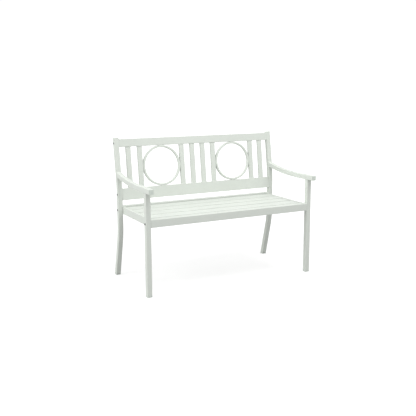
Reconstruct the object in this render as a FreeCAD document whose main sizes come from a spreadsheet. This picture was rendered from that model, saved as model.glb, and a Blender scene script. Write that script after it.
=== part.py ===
"""Garden bench of powder-coated steel: two side frames with a back panel and a seat bolted between.

+X runs along the bench from the left side frame to the right one, +Y from the front edge to the
back, +Z is up.  The origin lies on the ground, in the middle of the footprint.  Lengths are in
millimetres and angles in degrees.
"""
import FreeCAD
import Part
import math
import os
import Sketcher
from FreeCAD import Placement, Rotation, Vector

# Driving dimensions: alias, value, meaning.
DIMENSIONS = (
    ("overall_width", 1143.0, "outside of one side frame to the outside of the other"),
    ("overall_depth", 610.0, "front end of the armrests to the heels of the rear feet"),
    ("overall_height", 889.0, "ground to the highest edge of the post caps"),
    ("frame_tube", 30.0, "outside of the square tube of legs, posts and armrests"),
    ("frame_wall", 1.5, "wall of that tube"),
    ("tube_corner", 2.5, "outside corner radius of every tube"),
    ("heel_splay", 15.0, "how far the rear foot leans out behind"),
    ("heel_bend_height", 347.0, "height at which the rear leg bends out"),
    ("heel_bend_radius", 450.0, "centreline radius of that bend"),
    ("post_lean", 8.5, "how far the back post leans at its top"),
    ("post_bend_height", 530.0, "height at which the post starts to lean"),
    ("post_bend_radius", 900.0, "centreline radius of that bend"),
    ("front_overhang", 49.0, "armrest end to the front face of the front leg"),
    ("arm_height", 641.0, "ground to the top of the level part of the armrest"),
    ("arm_level_length", 175.0, "level front stretch of the armrest"),
    ("arm_sweep_radius", 1700.0, "centreline radius of the armrest's upward sweep"),
    ("seat_height", 457.0, "ground to the top of the seat slats"),
    ("seat_rail_height", 46.0, "height of the front and side seat rails"),
    ("front_rail_depth", 45.0, "front-to-back size of the front seat rail"),
    ("side_rail_width", 20.0, "width of the side seat rails"),
    ("rear_rail_rise", 8.0, "how far the rear seat rail stands above the slats"),
    ("seat_slat_gap", 11.0, "gap beside each seat slat"),
    ("seat_slat_depth", 15.0, "height of a seat slat's folded edges"),
    ("slat_sheet", 1.5, "sheet thickness of the seat slats"),
    ("brace_size", 20.0, "square tube under the middle of the seat slats"),
    ("rail_wall", 1.5, "wall of the rails, back slats and brace"),
    ("rail_depth", 20.0, "front-to-back size of the back rails and rings"),
    ("rail_recess", 2.0, "back rails' front face behind the front face of the posts"),
    ("top_rail_height", 50.0, "height of the top back rail"),
    ("lower_rail_height", 74.0, "height of the lower back rail"),
    ("lower_rail_lift", 34.0, "rear seat rail's top to the lower back rail's bottom edge"),
    ("top_rail_drop", 4.7, "end of the post tube to the top back rail's upper edge"),
    ("ring_band", 13.0, "width of a ring's tube, measured towards its middle"),
    ("back_slat_width", 33.0, "width of a back slat"),
    ("back_slat_depth", 15.0, "front-to-back size of a back slat"),
    ("post_cap_height", 4.0, "visible part of a post cap"),
    ("arm_cap_height", 3.0, "visible part of an armrest cap"),
    ("cap_bevel", 1.5, "bevel round the caps"),
    ("foot_height", 6.0, "visible part of a foot plug"),
    ("foot_bevel", 1.0, "bevel round a foot plug's ground face"),
    ("plug_length", 18.0, "part of a cap or foot that goes into its tube"),
    ("plug_clearance", 0.2, "gap between that part and the tube, each side"),
    ("bolt_thread", 6.0, "thread diameter of the frame bolts"),
    ("bolt_reach", 12.0, "bolt length past the frame tube"),
    ("bolt_clearance", 0.3, "gap round a bolt in the frame tube"),
    ("head_diameter", 10.5, "button head of a bolt"),
    ("head_height", 3.3, "height of that head"),
    ("head_crown", 2.4, "rounding of that head"),
    ("socket_size", 4.0, "hexagon socket, across flats"),
    ("socket_depth", 2.0, "depth of that socket"),
    ("washer_diameter", 12.5, "outside of a washer"),
    ("washer_thickness", 1.6, "thickness of a washer"),
    ("end_plate", 4.0, "thickness of the tapped plates in the rail ends"),
)
SEAT_SLATS = 4
BACK_SLATS_OUTSIDE = 2
BACK_SLATS_BETWEEN = 4

# Sizes worked out from the driving dimensions: alias, formula, meaning.
WORKED_OUT = (
    ("frame_x", "(Dims.overall_width - Dims.frame_tube) / 2", "middle plane of a side frame"),
    ("clear_width", "Dims.overall_width - 2 * Dims.frame_tube", "between the side frames"),
    ("front_y", "Dims.front_overhang - Dims.overall_depth / 2", "front face of the front legs"),
    ("front_leg_y", "front_y + Dims.frame_tube / 2", "axis of the front legs"),
    ("arm_axis_z", "Dims.arm_height - Dims.frame_tube / 2", "axis of the level part of an arm"),
    ("arm_end_y", "Dims.arm_cap_height - Dims.overall_depth / 2", "front end of the arm's tube"),
    ("arm_sweep_y", "Dims.arm_level_length - Dims.overall_depth / 2", "start of the arm's sweep"),
    ("heel_y", "Dims.overall_depth / 2 - Dims.frame_tube / (2 * cos(Dims.heel_splay))"
     " + Dims.foot_bevel * sin(Dims.heel_splay)", "axis of the rear leg at the ground"),
    ("heel_rise", "Dims.heel_bend_radius * sin(Dims.heel_splay)", "height of the heel bend"),
    ("heel_shift", "Dims.heel_bend_radius * (1 - cos(Dims.heel_splay))", "depth of that bend"),
    ("waist_y", "heel_y - heel_shift - (Dims.heel_bend_height - heel_rise) * tan(Dims.heel_splay)",
     "axis of the rear leg's upright stretch"),
    ("lean_y", "waist_y + Dims.post_bend_radius * (1 - cos(Dims.post_lean))", "end of the post bend"),
    ("lean_z", "Dims.post_bend_height + Dims.post_bend_radius * sin(Dims.post_lean)",
     "height of that end"),
    ("post_end_z", "Dims.overall_height - Dims.post_cap_height * cos(Dims.post_lean)"
     " - (Dims.frame_tube / 2 - Dims.cap_bevel) * sin(Dims.post_lean)", "end of the post's axis"),
    ("post_end_y", "lean_y + (post_end_z - lean_z) * tan(Dims.post_lean)", "its place in depth"),
    ("top_run", "(post_end_z - lean_z) / cos(Dims.post_lean) - Dims.top_rail_drop"
     " - Dims.top_rail_height / 2", "bend to the top back rail, along the post's axis"),
    ("rail_forward", "Dims.frame_tube / 2 - Dims.rail_recess - Dims.rail_depth / 2",
     "middle of the back rails in front of the post's axis"),
    ("low_rail_y", "waist_y - rail_forward", "middle of the lower back rail"),
    ("low_rail_z", "Dims.seat_height + Dims.rear_rail_rise + Dims.lower_rail_lift"
     " + Dims.lower_rail_height / 2", "height of the lower rail"),
    ("top_rail_y", "lean_y + top_run * sin(Dims.post_lean) - rail_forward", "middle of the top rail"),
    ("top_rail_z", "lean_z + top_run * cos(Dims.post_lean)", "height of the top rail"),
    ("rail_span", "sqrt((top_rail_y - low_rail_y)^2 + (top_rail_z - low_rail_z)^2)",
     "middle of the lower back rail to the middle of the top one"),
    ("ring_diameter", "rail_span - (Dims.lower_rail_height + Dims.top_rail_height) / 2",
     "outside of a back ring, and so the gap between the back rails"),
    ("front_rail_y", "front_y + Dims.front_rail_depth / 2", "middle of the front seat rail"),
    ("seat_rail_z", "Dims.seat_height - Dims.seat_rail_height / 2", "middle of the seat rails"),
    ("rear_rail_z", "seat_rail_z + Dims.rear_rail_rise / 2", "middle of the rear seat rail"),
    ("slats_from_y", "front_y + Dims.front_rail_depth", "back of the front seat rail"),
    ("slats_to_y", "waist_y - Dims.frame_tube / 2", "front of the rear seat rail"),
    ("slats_room", "slats_to_y - slats_from_y", "room for the slats"),
    ("seat_slat_width", "(slats_room - %d * Dims.seat_slat_gap) / %d" % (SEAT_SLATS + 1, SEAT_SLATS),
     "width of a seat slat"),
    ("back_gap", "(clear_width - 2 * ring_diameter - %d * Dims.back_slat_width) / %d"
     % (2 * BACK_SLATS_OUTSIDE + BACK_SLATS_BETWEEN, 2 * BACK_SLATS_OUTSIDE + BACK_SLATS_BETWEEN - 1),
     "gap beside each back slat"),
)

doc = FreeCAD.newDocument("garden_bench")
sub_parts = []


def fill_sheet(name, rows, prefix):
    """Spreadsheet of aliased cells, one row for each alias."""
    new_sheet = doc.addObject("Spreadsheet::Sheet", name)
    for row, (alias, content, meaning) in enumerate(rows, start=1):
        new_sheet.set("A%d" % row, meaning)
        new_sheet.set("B%d" % row, prefix + str(content))
        new_sheet.setAlias("B%d" % row, alias)
    doc.recompute()
    return new_sheet


fill_sheet("Dims", DIMENSIONS, "")
sizes = fill_sheet("Sizes", WORKED_OUT, "=")


def amount(expression):
    """What an expression of the sheets' aliases comes to, as a plain number."""
    return float(sizes.evalExpression(expression))


def keep(label, part):
    """Label a finished sub-part and list it for writing."""
    part.Label = label
    sub_parts.append(part)
    return part


# Sketches ---------------------------------------------------------------------------------------

def origin_feature(body, role):
    """One plane or axis of the body's own origin."""
    return next(feature for feature in body.Origin.OriginFeatures if feature.Role == role)


def sketch_on(body, name, role):
    """Empty sketch on one of the body's own origin planes."""
    sketch = body.newObject("Sketcher::SketchObject", name)
    sketch.AttachmentSupport = (origin_feature(body, role), [""])
    sketch.MapMode = "FlatFace"
    return sketch


def drive(sketch, kind, *where, by):
    """Add a dimension that follows an expression of the sheets' aliases."""
    value = math.radians(amount(by)) if kind == "Angle" else amount(by)
    index = sketch.addConstraint(Sketcher.Constraint(kind, *where, value))
    sketch.setExpression("Constraints[%d]" % index, by)


def place_point(sketch, geometry, point, across, up):
    """Fix one point of the sketch; a coordinate of "0" puts it on the axis."""
    origin = (-1, 1)
    axes = (("DistanceX", across, -2), ("DistanceY", up, -1))
    for kind, coordinate, axis in axes:
        if coordinate == "0":
            sketch.addConstraint(Sketcher.Constraint("PointOnObject", geometry, point, axis))
        else:
            drive(sketch, kind, *origin, geometry, point, by=coordinate)


def draw_circle(sketch, diameter, across="0", up="0"):
    """Circle of a driven diameter round a driven point."""
    centre = Vector(amount(across), amount(up), 0)
    circle = sketch.addGeometry(Part.Circle(centre, Vector(0, 0, 1), amount(diameter) / 2))
    place_point(sketch, circle, 3, across, up)
    drive(sketch, "Diameter", circle, by=diameter)


def draw_outline(sketch, corners):
    """Closed outline of straight lines through driven corners."""
    points = [Vector(amount(across), amount(up), 0) for across, up in corners]
    first = sketch.GeometryCount
    count = len(points)
    for index in range(count):
        sketch.addGeometry(Part.LineSegment(points[index], points[(index + 1) % count]))
    for index in range(count):
        following = first + (index + 1) % count
        sketch.addConstraint(Sketcher.Constraint("Coincident", first + index, 2, following, 1))
    for index, (across, up) in enumerate(corners):
        place_point(sketch, first + index, 1, across, up)


def draw_section(sketch, width, height, corner):
    """Rectangle with rounded corners, centred on the sketch's origin."""
    radius = amount(corner)
    flat_x = amount(width) / 2 - radius
    flat_y = amount(height) / 2 - radius
    centres = (Vector(flat_x, -flat_y, 0), Vector(flat_x, flat_y, 0),
               Vector(-flat_x, flat_y, 0), Vector(-flat_x, -flat_y, 0))
    sides, bends = [], []
    for index, centre in enumerate(centres):
        start = (index - 1) * math.pi / 2
        outward = Vector(math.cos(start), math.sin(start), 0) * radius
        side = Part.LineSegment(centres[index - 1] + outward, centre + outward)
        bend = Part.ArcOfCircle(Part.Circle(centre, Vector(0, 0, 1), radius),
                                start, start + math.pi / 2)
        sides.append(sketch.addGeometry(side))
        bends.append(sketch.addGeometry(bend))
    for index in range(4):
        following = sides[(index + 1) % 4]
        sketch.addConstraint(Sketcher.Constraint("Tangent", sides[index], 2, bends[index], 1))
        sketch.addConstraint(Sketcher.Constraint("Tangent", bends[index], 2, following, 1))
    for index, kind in enumerate(("Horizontal", "Vertical") * 2):
        sketch.addConstraint(Sketcher.Constraint(kind, sides[index]))
    for bend in bends[1:]:
        sketch.addConstraint(Sketcher.Constraint("Equal", bends[0], bend))
    sketch.addConstraint(Sketcher.Constraint("Symmetric", sides[0], 1, sides[2], 1, -1, 1))
    drive(sketch, "Radius", bends[0], by=corner)
    drive(sketch, "DistanceX", sides[3], 1, sides[1], 1, by=width)
    drive(sketch, "DistanceY", sides[0], 1, sides[2], 1, by=height)


def draw_tube_section(sketch, width, height, wall):
    """Wall of a rectangular tube, round corners inside and out."""
    draw_section(sketch, width, height, "Dims.tube_corner")
    draw_section(sketch, inside(width, wall), inside(height, wall), "Dims.tube_corner - " + wall)


def inside(size, wall):
    """Expression for an outside size less two walls."""
    return "%s - 2 * %s" % (size, wall)


# Solids -----------------------------------------------------------------------------------------

def new_body(name, placement=Placement()):
    """Empty body at its place in the bench."""
    body = doc.addObject("PartDesign::Body", name)
    body.Placement = placement
    return body


def extrude(body, kind, sketch, length, both_ways=False, backwards=False):
    """Pad or pocket of a sketch by a driven length."""
    feature = body.newObject("PartDesign::" + kind, sketch.Name + "_" + kind.lower())
    feature.Profile = sketch
    feature.Midplane = both_ways
    feature.Reversed = backwards
    feature.setExpression("Length", length)
    body.Tip = feature
    doc.recompute()
    return feature


def bevel(body, feature, size, picks):
    """Chamfer of the edges that picks() accepts."""
    edges = ["Edge%d" % number for number, edge in enumerate(feature.Shape.Edges, start=1)
             if picks(edge)]
    chamfer = body.newObject("PartDesign::Chamfer", feature.Name + "_bevel")
    chamfer.Base = (feature, edges)
    chamfer.setExpression("Size", size)
    body.Tip = chamfer
    doc.recompute()
    return chamfer


def straight_tube(name, role, width, height, wall, length, placement):
    """Straight rectangular tube, half its length each side of the plane that holds its section."""
    body = new_body(name, placement)
    section = sketch_on(body, name + "_section", role)
    draw_tube_section(section, width, height, wall)
    extrude(body, "Pad", section, length, both_ways=True)
    return body


def group(name, bodies):
    """One sub-part of several separate solids that are alike."""
    compound = doc.addObject("Part::Compound", name)
    compound.Links = bodies
    doc.recompute()
    return compound


def bore_across(body, name, across, up):
    """Clearance hole for a bolt, right through the body along X."""
    hole = sketch_on(body, name, "YZ_Plane")
    draw_circle(hole, "Dims.bolt_thread + 2 * Dims.bolt_clearance", across, up)
    extrude(body, "Pocket", hole, "2 * Dims.frame_tube", both_ways=True)


# Side frames ------------------------------------------------------------------------------------

def draw_leg_path(sketch):
    """Axis of a rear leg: splayed foot, upright stretch, leaning post."""
    waist = amount("Sizes.waist_y")
    heel_radius, post_radius = amount("Dims.heel_bend_radius"), amount("Dims.post_bend_radius")
    heel_height, post_height = amount("Dims.heel_bend_height"), amount("Dims.post_bend_height")
    splay, lean = math.radians(amount("Dims.heel_splay")), math.radians(amount("Dims.post_lean"))
    below = "-Dims.frame_tube"
    start = Vector(amount("Sizes.heel_y") - amount(below) * math.tan(splay), amount(below), 0)
    heel = Vector(waist + amount("Sizes.heel_shift"), heel_height - amount("Sizes.heel_rise"), 0)
    bend = Vector(amount("Sizes.lean_y"), amount("Sizes.lean_z"), 0)
    end = Vector(amount("Sizes.post_end_y"), amount("Sizes.post_end_z"), 0)
    up = Vector(0, 0, 1)
    foot = sketch.addGeometry(Part.LineSegment(start, heel))
    heel_circle = Part.Circle(Vector(waist + heel_radius, heel_height, 0), up, heel_radius)
    heel_bend = sketch.addGeometry(Part.ArcOfCircle(heel_circle, math.pi, math.pi + splay))
    waist_line = Part.LineSegment(Vector(waist, heel_height, 0), Vector(waist, post_height, 0))
    upright = sketch.addGeometry(waist_line)
    post_circle = Part.Circle(Vector(waist + post_radius, post_height, 0), up, post_radius)
    post_bend = sketch.addGeometry(Part.ArcOfCircle(post_circle, math.pi - lean, math.pi))
    post = sketch.addGeometry(Part.LineSegment(bend, end))
    for joint in ((foot, 2, heel_bend, 2), (heel_bend, 1, upright, 1),
                  (upright, 2, post_bend, 2), (post_bend, 1, post, 1)):
        sketch.addConstraint(Sketcher.Constraint("Tangent", *joint))
    sketch.addConstraint(Sketcher.Constraint("Vertical", upright))
    drive(sketch, "Radius", heel_bend, by="Dims.heel_bend_radius")
    drive(sketch, "Radius", post_bend, by="Dims.post_bend_radius")
    place_point(sketch, upright, 1, "Sizes.waist_y", "Dims.heel_bend_height")
    drive(sketch, "DistanceY", -1, 1, upright, 2, by="Dims.post_bend_height")
    drive(sketch, "DistanceY", -1, 1, foot, 1, by=below)
    drive(sketch, "DistanceY", -1, 1, post, 2, by="Sizes.post_end_z")
    drive(sketch, "Angle", foot, by="90 + Dims.heel_splay")
    drive(sketch, "Angle", post, by="90 - Dims.post_lean")


def sweep(body, name, section, path):
    """Sweep a section along every edge of a path sketch."""
    pipe = body.newObject("PartDesign::AdditivePipe", name)
    pipe.Profile = section
    pipe.Spine = (path, ["Edge%d" % number for number in range(1, path.GeometryCount + 1)])
    body.Tip = pipe
    doc.recompute()
    return pipe


def bent_leg(name, placement, hollow):
    """Rear leg and back post in one bent tube, or the solid bar of the same outline."""
    body = new_body(name, placement)
    path = sketch_on(body, name + "_path", "YZ_Plane")
    draw_leg_path(path)
    section = sketch_on(body, name + "_section", "XY_Plane")
    section.AttachmentOffset = Placement(Vector(), Rotation(Vector(1, 0, 0), amount("Dims.heel_splay")))
    section.setExpression("AttachmentOffset.Rotation.Angle", "Dims.heel_splay")
    section.setExpression("AttachmentOffset.Base.y",
                          "Sizes.heel_y + Dims.frame_tube * tan(Dims.heel_splay)")
    section.setExpression("AttachmentOffset.Base.z", "-Dims.frame_tube")
    if hollow:
        draw_tube_section(section, "Dims.frame_tube", "Dims.frame_tube", "Dims.frame_wall")
    else:
        draw_section(section, "Dims.frame_tube", "Dims.frame_tube", "Dims.tube_corner")
    doc.recompute()
    sweep(body, name + "_tube", section, path)
    trim_foot(body, name)
    return body


def trim_foot(body, name):
    """Level cut that leaves room for the foot plug."""
    reach = "4 * Dims.frame_tube"
    cut = sketch_on(body, name + "_foot_cut", "YZ_Plane")
    behind, front = "Sizes.heel_y + " + reach, "Sizes.heel_y - " + reach
    draw_outline(cut, ((front, "-" + reach), (behind, "-" + reach),
                       (behind, "Dims.foot_height"), (front, "Dims.foot_height")))
    extrude(body, "Pocket", cut, "2 * Dims.frame_tube", both_ways=True)


def rear_leg(side, placement):
    """Bent rear leg with its three bolt holes."""
    body = bent_leg(side + "_rear_leg_tube", placement, hollow=True)
    bore_across(body, side + "_seat_bore", "Sizes.waist_y", "Sizes.rear_rail_z")
    bore_across(body, side + "_low_bore", "Sizes.low_rail_y", "Sizes.low_rail_z")
    bore_across(body, side + "_top_bore", "Sizes.top_rail_y", "Sizes.top_rail_z")
    return keep(side + "_rear_leg", body)


def front_leg(side, placement):
    """Straight front leg from its foot plug to the underside of the armrest."""
    name = side + "_front_leg_tube"
    body = new_body(name, placement)
    section = sketch_on(body, name + "_section", "XY_Plane")
    section.setExpression("AttachmentOffset.Base.y", "Sizes.front_leg_y")
    section.setExpression("AttachmentOffset.Base.z", "Dims.foot_height")
    draw_tube_section(section, "Dims.frame_tube", "Dims.frame_tube", "Dims.frame_wall")
    extrude(body, "Pad", section, "Dims.arm_height - Dims.frame_tube - Dims.foot_height")
    bore_across(body, side + "_front_bore", "Sizes.front_leg_y", "Sizes.seat_rail_z")
    return keep(side + "_front_leg", body)


def armrest(side, placement):
    """Armrest tube: level at the front, swept up to the post and coped to fit it."""
    name = side + "_arm_tube"
    body = new_body(name, placement)
    path = sketch_on(body, name + "_path", "YZ_Plane")
    height, radius = amount("Sizes.arm_axis_z"), amount("Dims.arm_sweep_radius")
    turn = Vector(amount("Sizes.arm_sweep_y"), height, 0)
    level = path.addGeometry(Part.LineSegment(Vector(amount("Sizes.arm_end_y"), height, 0), turn))
    circle = Part.Circle(turn + Vector(0, radius, 0), Vector(0, 0, 1), radius)
    angle = math.asin((amount("Sizes.lean_y") - turn.x) / radius)
    swept = path.addGeometry(Part.ArcOfCircle(circle, -math.pi / 2, angle - math.pi / 2))
    path.addConstraint(Sketcher.Constraint("Tangent", level, 2, swept, 1))
    path.addConstraint(Sketcher.Constraint("Horizontal", level))
    place_point(path, level, 1, "Sizes.arm_end_y", "Sizes.arm_axis_z")
    drive(path, "DistanceX", -1, 1, level, 2, by="Sizes.arm_sweep_y")
    drive(path, "Radius", swept, by="Dims.arm_sweep_radius")
    drive(path, "DistanceX", -1, 1, swept, 2, by="Sizes.lean_y")
    section = sketch_on(body, name + "_section", "XZ_Plane")
    section.setExpression("AttachmentOffset.Base.y", "Sizes.arm_axis_z")
    section.setExpression("AttachmentOffset.Base.z", "-Sizes.arm_end_y")
    draw_tube_section(section, "Dims.frame_tube", "Dims.frame_tube", "Dims.frame_wall")
    doc.recompute()
    sweep(body, name + "_sweep", section, path)
    cope = doc.addObject("Part::Cut", side + "_arm_cope")
    cope.Base = body
    cope.Tool = bent_leg(side + "_post_bar", placement, hollow=False)
    return keep(side + "_armrest", cope)


def end_cap(label, height, placement):
    """Moulded cap for the open end of a frame tube, with the plug that holds it."""
    body = new_body(label + "_cap", placement)
    face = sketch_on(body, label + "_face", "XY_Plane")
    draw_section(face, "Dims.frame_tube", "Dims.frame_tube", "Dims.tube_corner")
    top = extrude(body, "Pad", face, height)
    level = amount(height)
    bevel(body, top, "Dims.cap_bevel", lambda edge: edge.BoundBox.ZMin > level - 0.01)
    plug = sketch_on(body, label + "_plug", "XY_Plane")
    width = "Dims.frame_tube - 2 * Dims.frame_wall - 2 * Dims.plug_clearance"
    draw_section(plug, width, width, "Dims.tube_corner - Dims.frame_wall")
    extrude(body, "Pad", plug, "Dims.plug_length", backwards=True)
    return keep(label, body)


def foot_plug(label, splay, placement):
    """Foot plug: a pad as wide as the tube, sheared to its splay, and the stub inside the tube."""
    body = new_body(label + "_plug", placement)
    slant = "tan(%s)" % splay
    half = "Dims.frame_tube / (2 * cos(%s))" % splay
    top = "Dims.foot_height"
    pad_outline = sketch_on(body, label + "_pad", "YZ_Plane")
    draw_outline(pad_outline, (("-" + half, "0"), (half, "0"),
                               ("%s - %s * %s" % (half, top, slant), top),
                               ("-%s - %s * %s" % (half, top, slant), top)))
    pad = extrude(body, "Pad", pad_outline, "Dims.frame_tube", both_ways=True)
    bevel(body, pad, "Dims.foot_bevel", lambda edge: edge.BoundBox.ZMax < 0.01)
    stub_half = "(Dims.frame_tube / 2 - Dims.frame_wall - Dims.plug_clearance) / cos(%s)" % splay
    end = "%s + Dims.plug_length" % top
    stub_outline = sketch_on(body, label + "_stub", "YZ_Plane")
    draw_outline(stub_outline, (("-%s - %s * %s" % (stub_half, top, slant), top),
                                ("%s - %s * %s" % (stub_half, top, slant), top),
                                ("%s - (%s) * %s" % (stub_half, end, slant), end),
                                ("-%s - (%s) * %s" % (stub_half, end, slant), end)))
    extrude(body, "Pad", stub_outline, "Dims.frame_tube - 2 * Dims.frame_wall"
            " - 2 * Dims.plug_clearance - Dims.tube_corner", both_ways=True)
    return keep(label, body)


def build_side_frame(side, sign):
    """Rear leg, front leg, armrest and the four moulded ends of one side frame."""
    across = sign * amount("Sizes.frame_x")
    placement = Placement(Vector(across, 0, 0), Rotation())
    rear_leg(side, placement)
    front_leg(side, placement)
    armrest(side, placement)
    post_end = Vector(across, amount("Sizes.post_end_y"), amount("Sizes.post_end_z"))
    end_cap(side + "_post_cap", "Dims.post_cap_height",
            Placement(post_end, Rotation(Vector(1, 0, 0), -amount("Dims.post_lean"))))
    arm_end = Vector(across, amount("Sizes.arm_end_y"), amount("Sizes.arm_axis_z"))
    end_cap(side + "_arm_cap", "Dims.arm_cap_height",
            Placement(arm_end, Rotation(Vector(1, 0, 0), 90)))
    foot_plug(side + "_rear_foot", "Dims.heel_splay",
              Placement(Vector(across, amount("Sizes.heel_y"), 0), Rotation()))
    foot_plug(side + "_front_foot", "0",
              Placement(Vector(across, amount("Sizes.front_leg_y"), 0), Rotation()))


# Back panel -------------------------------------------------------------------------------------

def back_placement(across, along):
    """Place in the leaning back panel: across from its middle, along up from the lower rail."""
    rise = amount("Sizes.top_rail_z - Sizes.low_rail_z")
    run = amount("Sizes.top_rail_y - Sizes.low_rail_y")
    lean = Rotation(Vector(1, 0, 0), -math.degrees(math.atan2(run, rise)))
    base = Vector(0, amount("Sizes.low_rail_y"), amount("Sizes.low_rail_z"))
    return Placement(base, lean).multiply(Placement(Vector(across, 0, along), Rotation()))


def build_back_panel():
    """Two rails with slats and rings between them."""
    rails = (("lower_back_rail", "Dims.lower_rail_height", 0.0),
             ("top_back_rail", "Dims.top_rail_height", amount("Sizes.rail_span")))
    for label, height, along in rails:
        rail = straight_tube(label + "_tube", "YZ_Plane", "Dims.rail_depth", height,
                             "Dims.rail_wall", "Sizes.clear_width", back_placement(0, along))
        keep(label, rail)
    ring_size, slat_size = amount("Sizes.ring_diameter"), amount("Dims.back_slat_width")
    middle = (amount("Dims.lower_rail_height") + ring_size) / 2
    gap = amount("Sizes.back_gap")
    pieces = ["slat"] * BACK_SLATS_OUTSIDE + ["ring"] + ["slat"] * BACK_SLATS_BETWEEN
    pieces += ["ring"] + ["slat"] * BACK_SLATS_OUTSIDE
    across = -amount("Sizes.clear_width") / 2
    previous = "post"
    counts = {"slat": 0, "ring": 0}
    for piece in pieces:
        counts[piece] += 1
        beside_ring = "ring" in (piece, previous)
        width = ring_size if piece == "ring" else slat_size
        across += (0.0 if beside_ring else gap) + width / 2
        builder = back_ring if piece == "ring" else back_slat
        builder("back_%s_%d" % (piece, counts[piece]), back_placement(across, middle))
        across += width / 2
        previous = piece


def back_slat(label, placement):
    """Upright slat between the back rails."""
    body = straight_tube(label + "_tube", "XY_Plane", "Dims.back_slat_width", "Dims.back_slat_depth",
                         "Dims.rail_wall", "Sizes.ring_diameter", placement)
    keep(label, body)


def back_ring(label, placement):
    """Ring of bent tube that touches both rails and the slats beside it."""
    body = new_body(label + "_tube", placement)
    section = sketch_on(body, label + "_section", "YZ_Plane")
    section.setExpression("AttachmentOffset.Base.y", "(Sizes.ring_diameter - Dims.ring_band) / 2")
    draw_tube_section(section, "Dims.rail_depth", "Dims.ring_band", "Dims.rail_wall")
    turn = body.newObject("PartDesign::Revolution", label + "_turn")
    turn.Profile = section
    turn.ReferenceAxis = (origin_feature(body, "Y_Axis"), [""])
    body.Tip = turn
    doc.recompute()
    keep(label, body)


# Seat -------------------------------------------------------------------------------------------

def build_seat():
    """Four rails, a middle brace and the slats."""
    front, back = amount("Sizes.slats_from_y"), amount("Sizes.slats_to_y")
    middle_y, rail_z = (front + back) / 2, amount("Sizes.seat_rail_z")
    front_rail = straight_tube(
        "front_rail_tube", "YZ_Plane", "Dims.front_rail_depth", "Dims.seat_rail_height",
        "Dims.rail_wall", "Sizes.clear_width",
        Placement(Vector(0, amount("Sizes.front_rail_y"), rail_z), Rotation()))
    keep("seat_front_rail", front_rail)
    rear_rail = straight_tube(
        "rear_rail_tube", "YZ_Plane", "Dims.frame_tube", "Dims.seat_rail_height + Dims.rear_rail_rise",
        "Dims.rail_wall", "Sizes.clear_width",
        Placement(Vector(0, amount("Sizes.waist_y"), amount("Sizes.rear_rail_z")), Rotation()))
    keep("seat_rear_rail", rear_rail)
    side_x = (amount("Sizes.clear_width") - amount("Dims.side_rail_width")) / 2
    for side, sign in (("left", -1), ("right", 1)):
        side_rail = straight_tube(
            side + "_side_rail_tube", "XZ_Plane", "Dims.side_rail_width", "Dims.seat_rail_height",
            "Dims.rail_wall", "Sizes.slats_room",
            Placement(Vector(sign * side_x, middle_y, rail_z), Rotation()))
        keep(side + "_seat_rail", side_rail)
    brace_z = amount("Dims.seat_height - Dims.seat_slat_depth - Dims.brace_size / 2")
    brace = straight_tube(
        "brace_tube", "XZ_Plane", "Dims.brace_size", "Dims.brace_size", "Dims.rail_wall",
        "Sizes.slats_room", Placement(Vector(0, middle_y, brace_z), Rotation()))
    keep("seat_middle_brace", brace)
    width, gap = amount("Sizes.seat_slat_width"), amount("Dims.seat_slat_gap")
    for number in range(SEAT_SLATS):
        slat_y = front + gap + width / 2 + number * (width + gap)
        seat_slat("seat_slat_%d" % (number + 1), slat_y)


def seat_slat(label, slat_y):
    """Slat of folded sheet: a flat top with both long edges turned down."""
    slat_z = amount("Dims.seat_height - Dims.seat_slat_depth / 2")
    body = new_body(label + "_sheet", Placement(Vector(0, slat_y, slat_z), Rotation()))
    half_width, half_depth = "Sizes.seat_slat_width / 2", "Dims.seat_slat_depth / 2"
    inner_width = half_width + " - Dims.slat_sheet"
    inner_top = half_depth + " - Dims.slat_sheet"
    section = sketch_on(body, label + "_section", "YZ_Plane")
    draw_outline(section, (("-" + half_width, "-" + half_depth),
                           ("-(%s)" % inner_width, "-" + half_depth),
                           ("-(%s)" % inner_width, inner_top),
                           (inner_width, inner_top),
                           (inner_width, "-" + half_depth),
                           (half_width, "-" + half_depth),
                           (half_width, half_depth),
                           ("-" + half_width, half_depth)))
    length = "Sizes.clear_width - 2 * Dims.side_rail_width"
    sheet_pad = extrude(body, "Pad", section, length, both_ways=True)
    top, run = amount(half_depth), amount(length)
    folds = ["Edge%d" % number for number, edge in enumerate(sheet_pad.Shape.Edges, start=1)
             if edge.BoundBox.ZMin > top - 0.01 and edge.Length > run - 0.01]
    fold = body.newObject("PartDesign::Fillet", label + "_fold")
    fold.Base = (sheet_pad, folds)
    fold.setExpression("Radius", "Dims.slat_sheet")
    body.Tip = fold
    keep(label, body)


# Fasteners --------------------------------------------------------------------------------------

def bolt(name, placement):
    """Button-head bolt, its head outwards along local Z and its shank the other way."""
    body = new_body(name, placement)
    head = sketch_on(body, name + "_head", "XY_Plane")
    draw_circle(head, "Dims.head_diameter")
    head_pad = extrude(body, "Pad", head, "Dims.head_height")
    top = amount("Dims.head_height")
    crown = body.newObject("PartDesign::Fillet", name + "_crown")
    rims = ["Edge%d" % number for number, edge in enumerate(head_pad.Shape.Edges, start=1)
            if edge.BoundBox.ZMin > top - 0.01]
    crown.Base = (head_pad, rims)
    crown.setExpression("Radius", "Dims.head_crown")
    shank = sketch_on(body, name + "_shank", "XY_Plane")
    draw_circle(shank, "Dims.bolt_thread")
    extrude(body, "Pad", shank, "Dims.washer_thickness + Dims.frame_tube + Dims.bolt_reach",
            backwards=True)
    socket = sketch_on(body, name + "_socket", "XY_Plane")
    socket.setExpression("AttachmentOffset.Base.z", "Dims.head_height")
    corner = "Dims.socket_size / sqrt(3)"
    draw_outline(socket, ((corner, "0"),
                          (corner + " / 2", "Dims.socket_size / 2"),
                          ("-%s / 2" % corner, "Dims.socket_size / 2"),
                          ("-" + corner, "0"),
                          ("-%s / 2" % corner, "-Dims.socket_size / 2"),
                          (corner + " / 2", "-Dims.socket_size / 2")))
    extrude(body, "Pocket", socket, "Dims.socket_depth")
    return body


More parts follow.
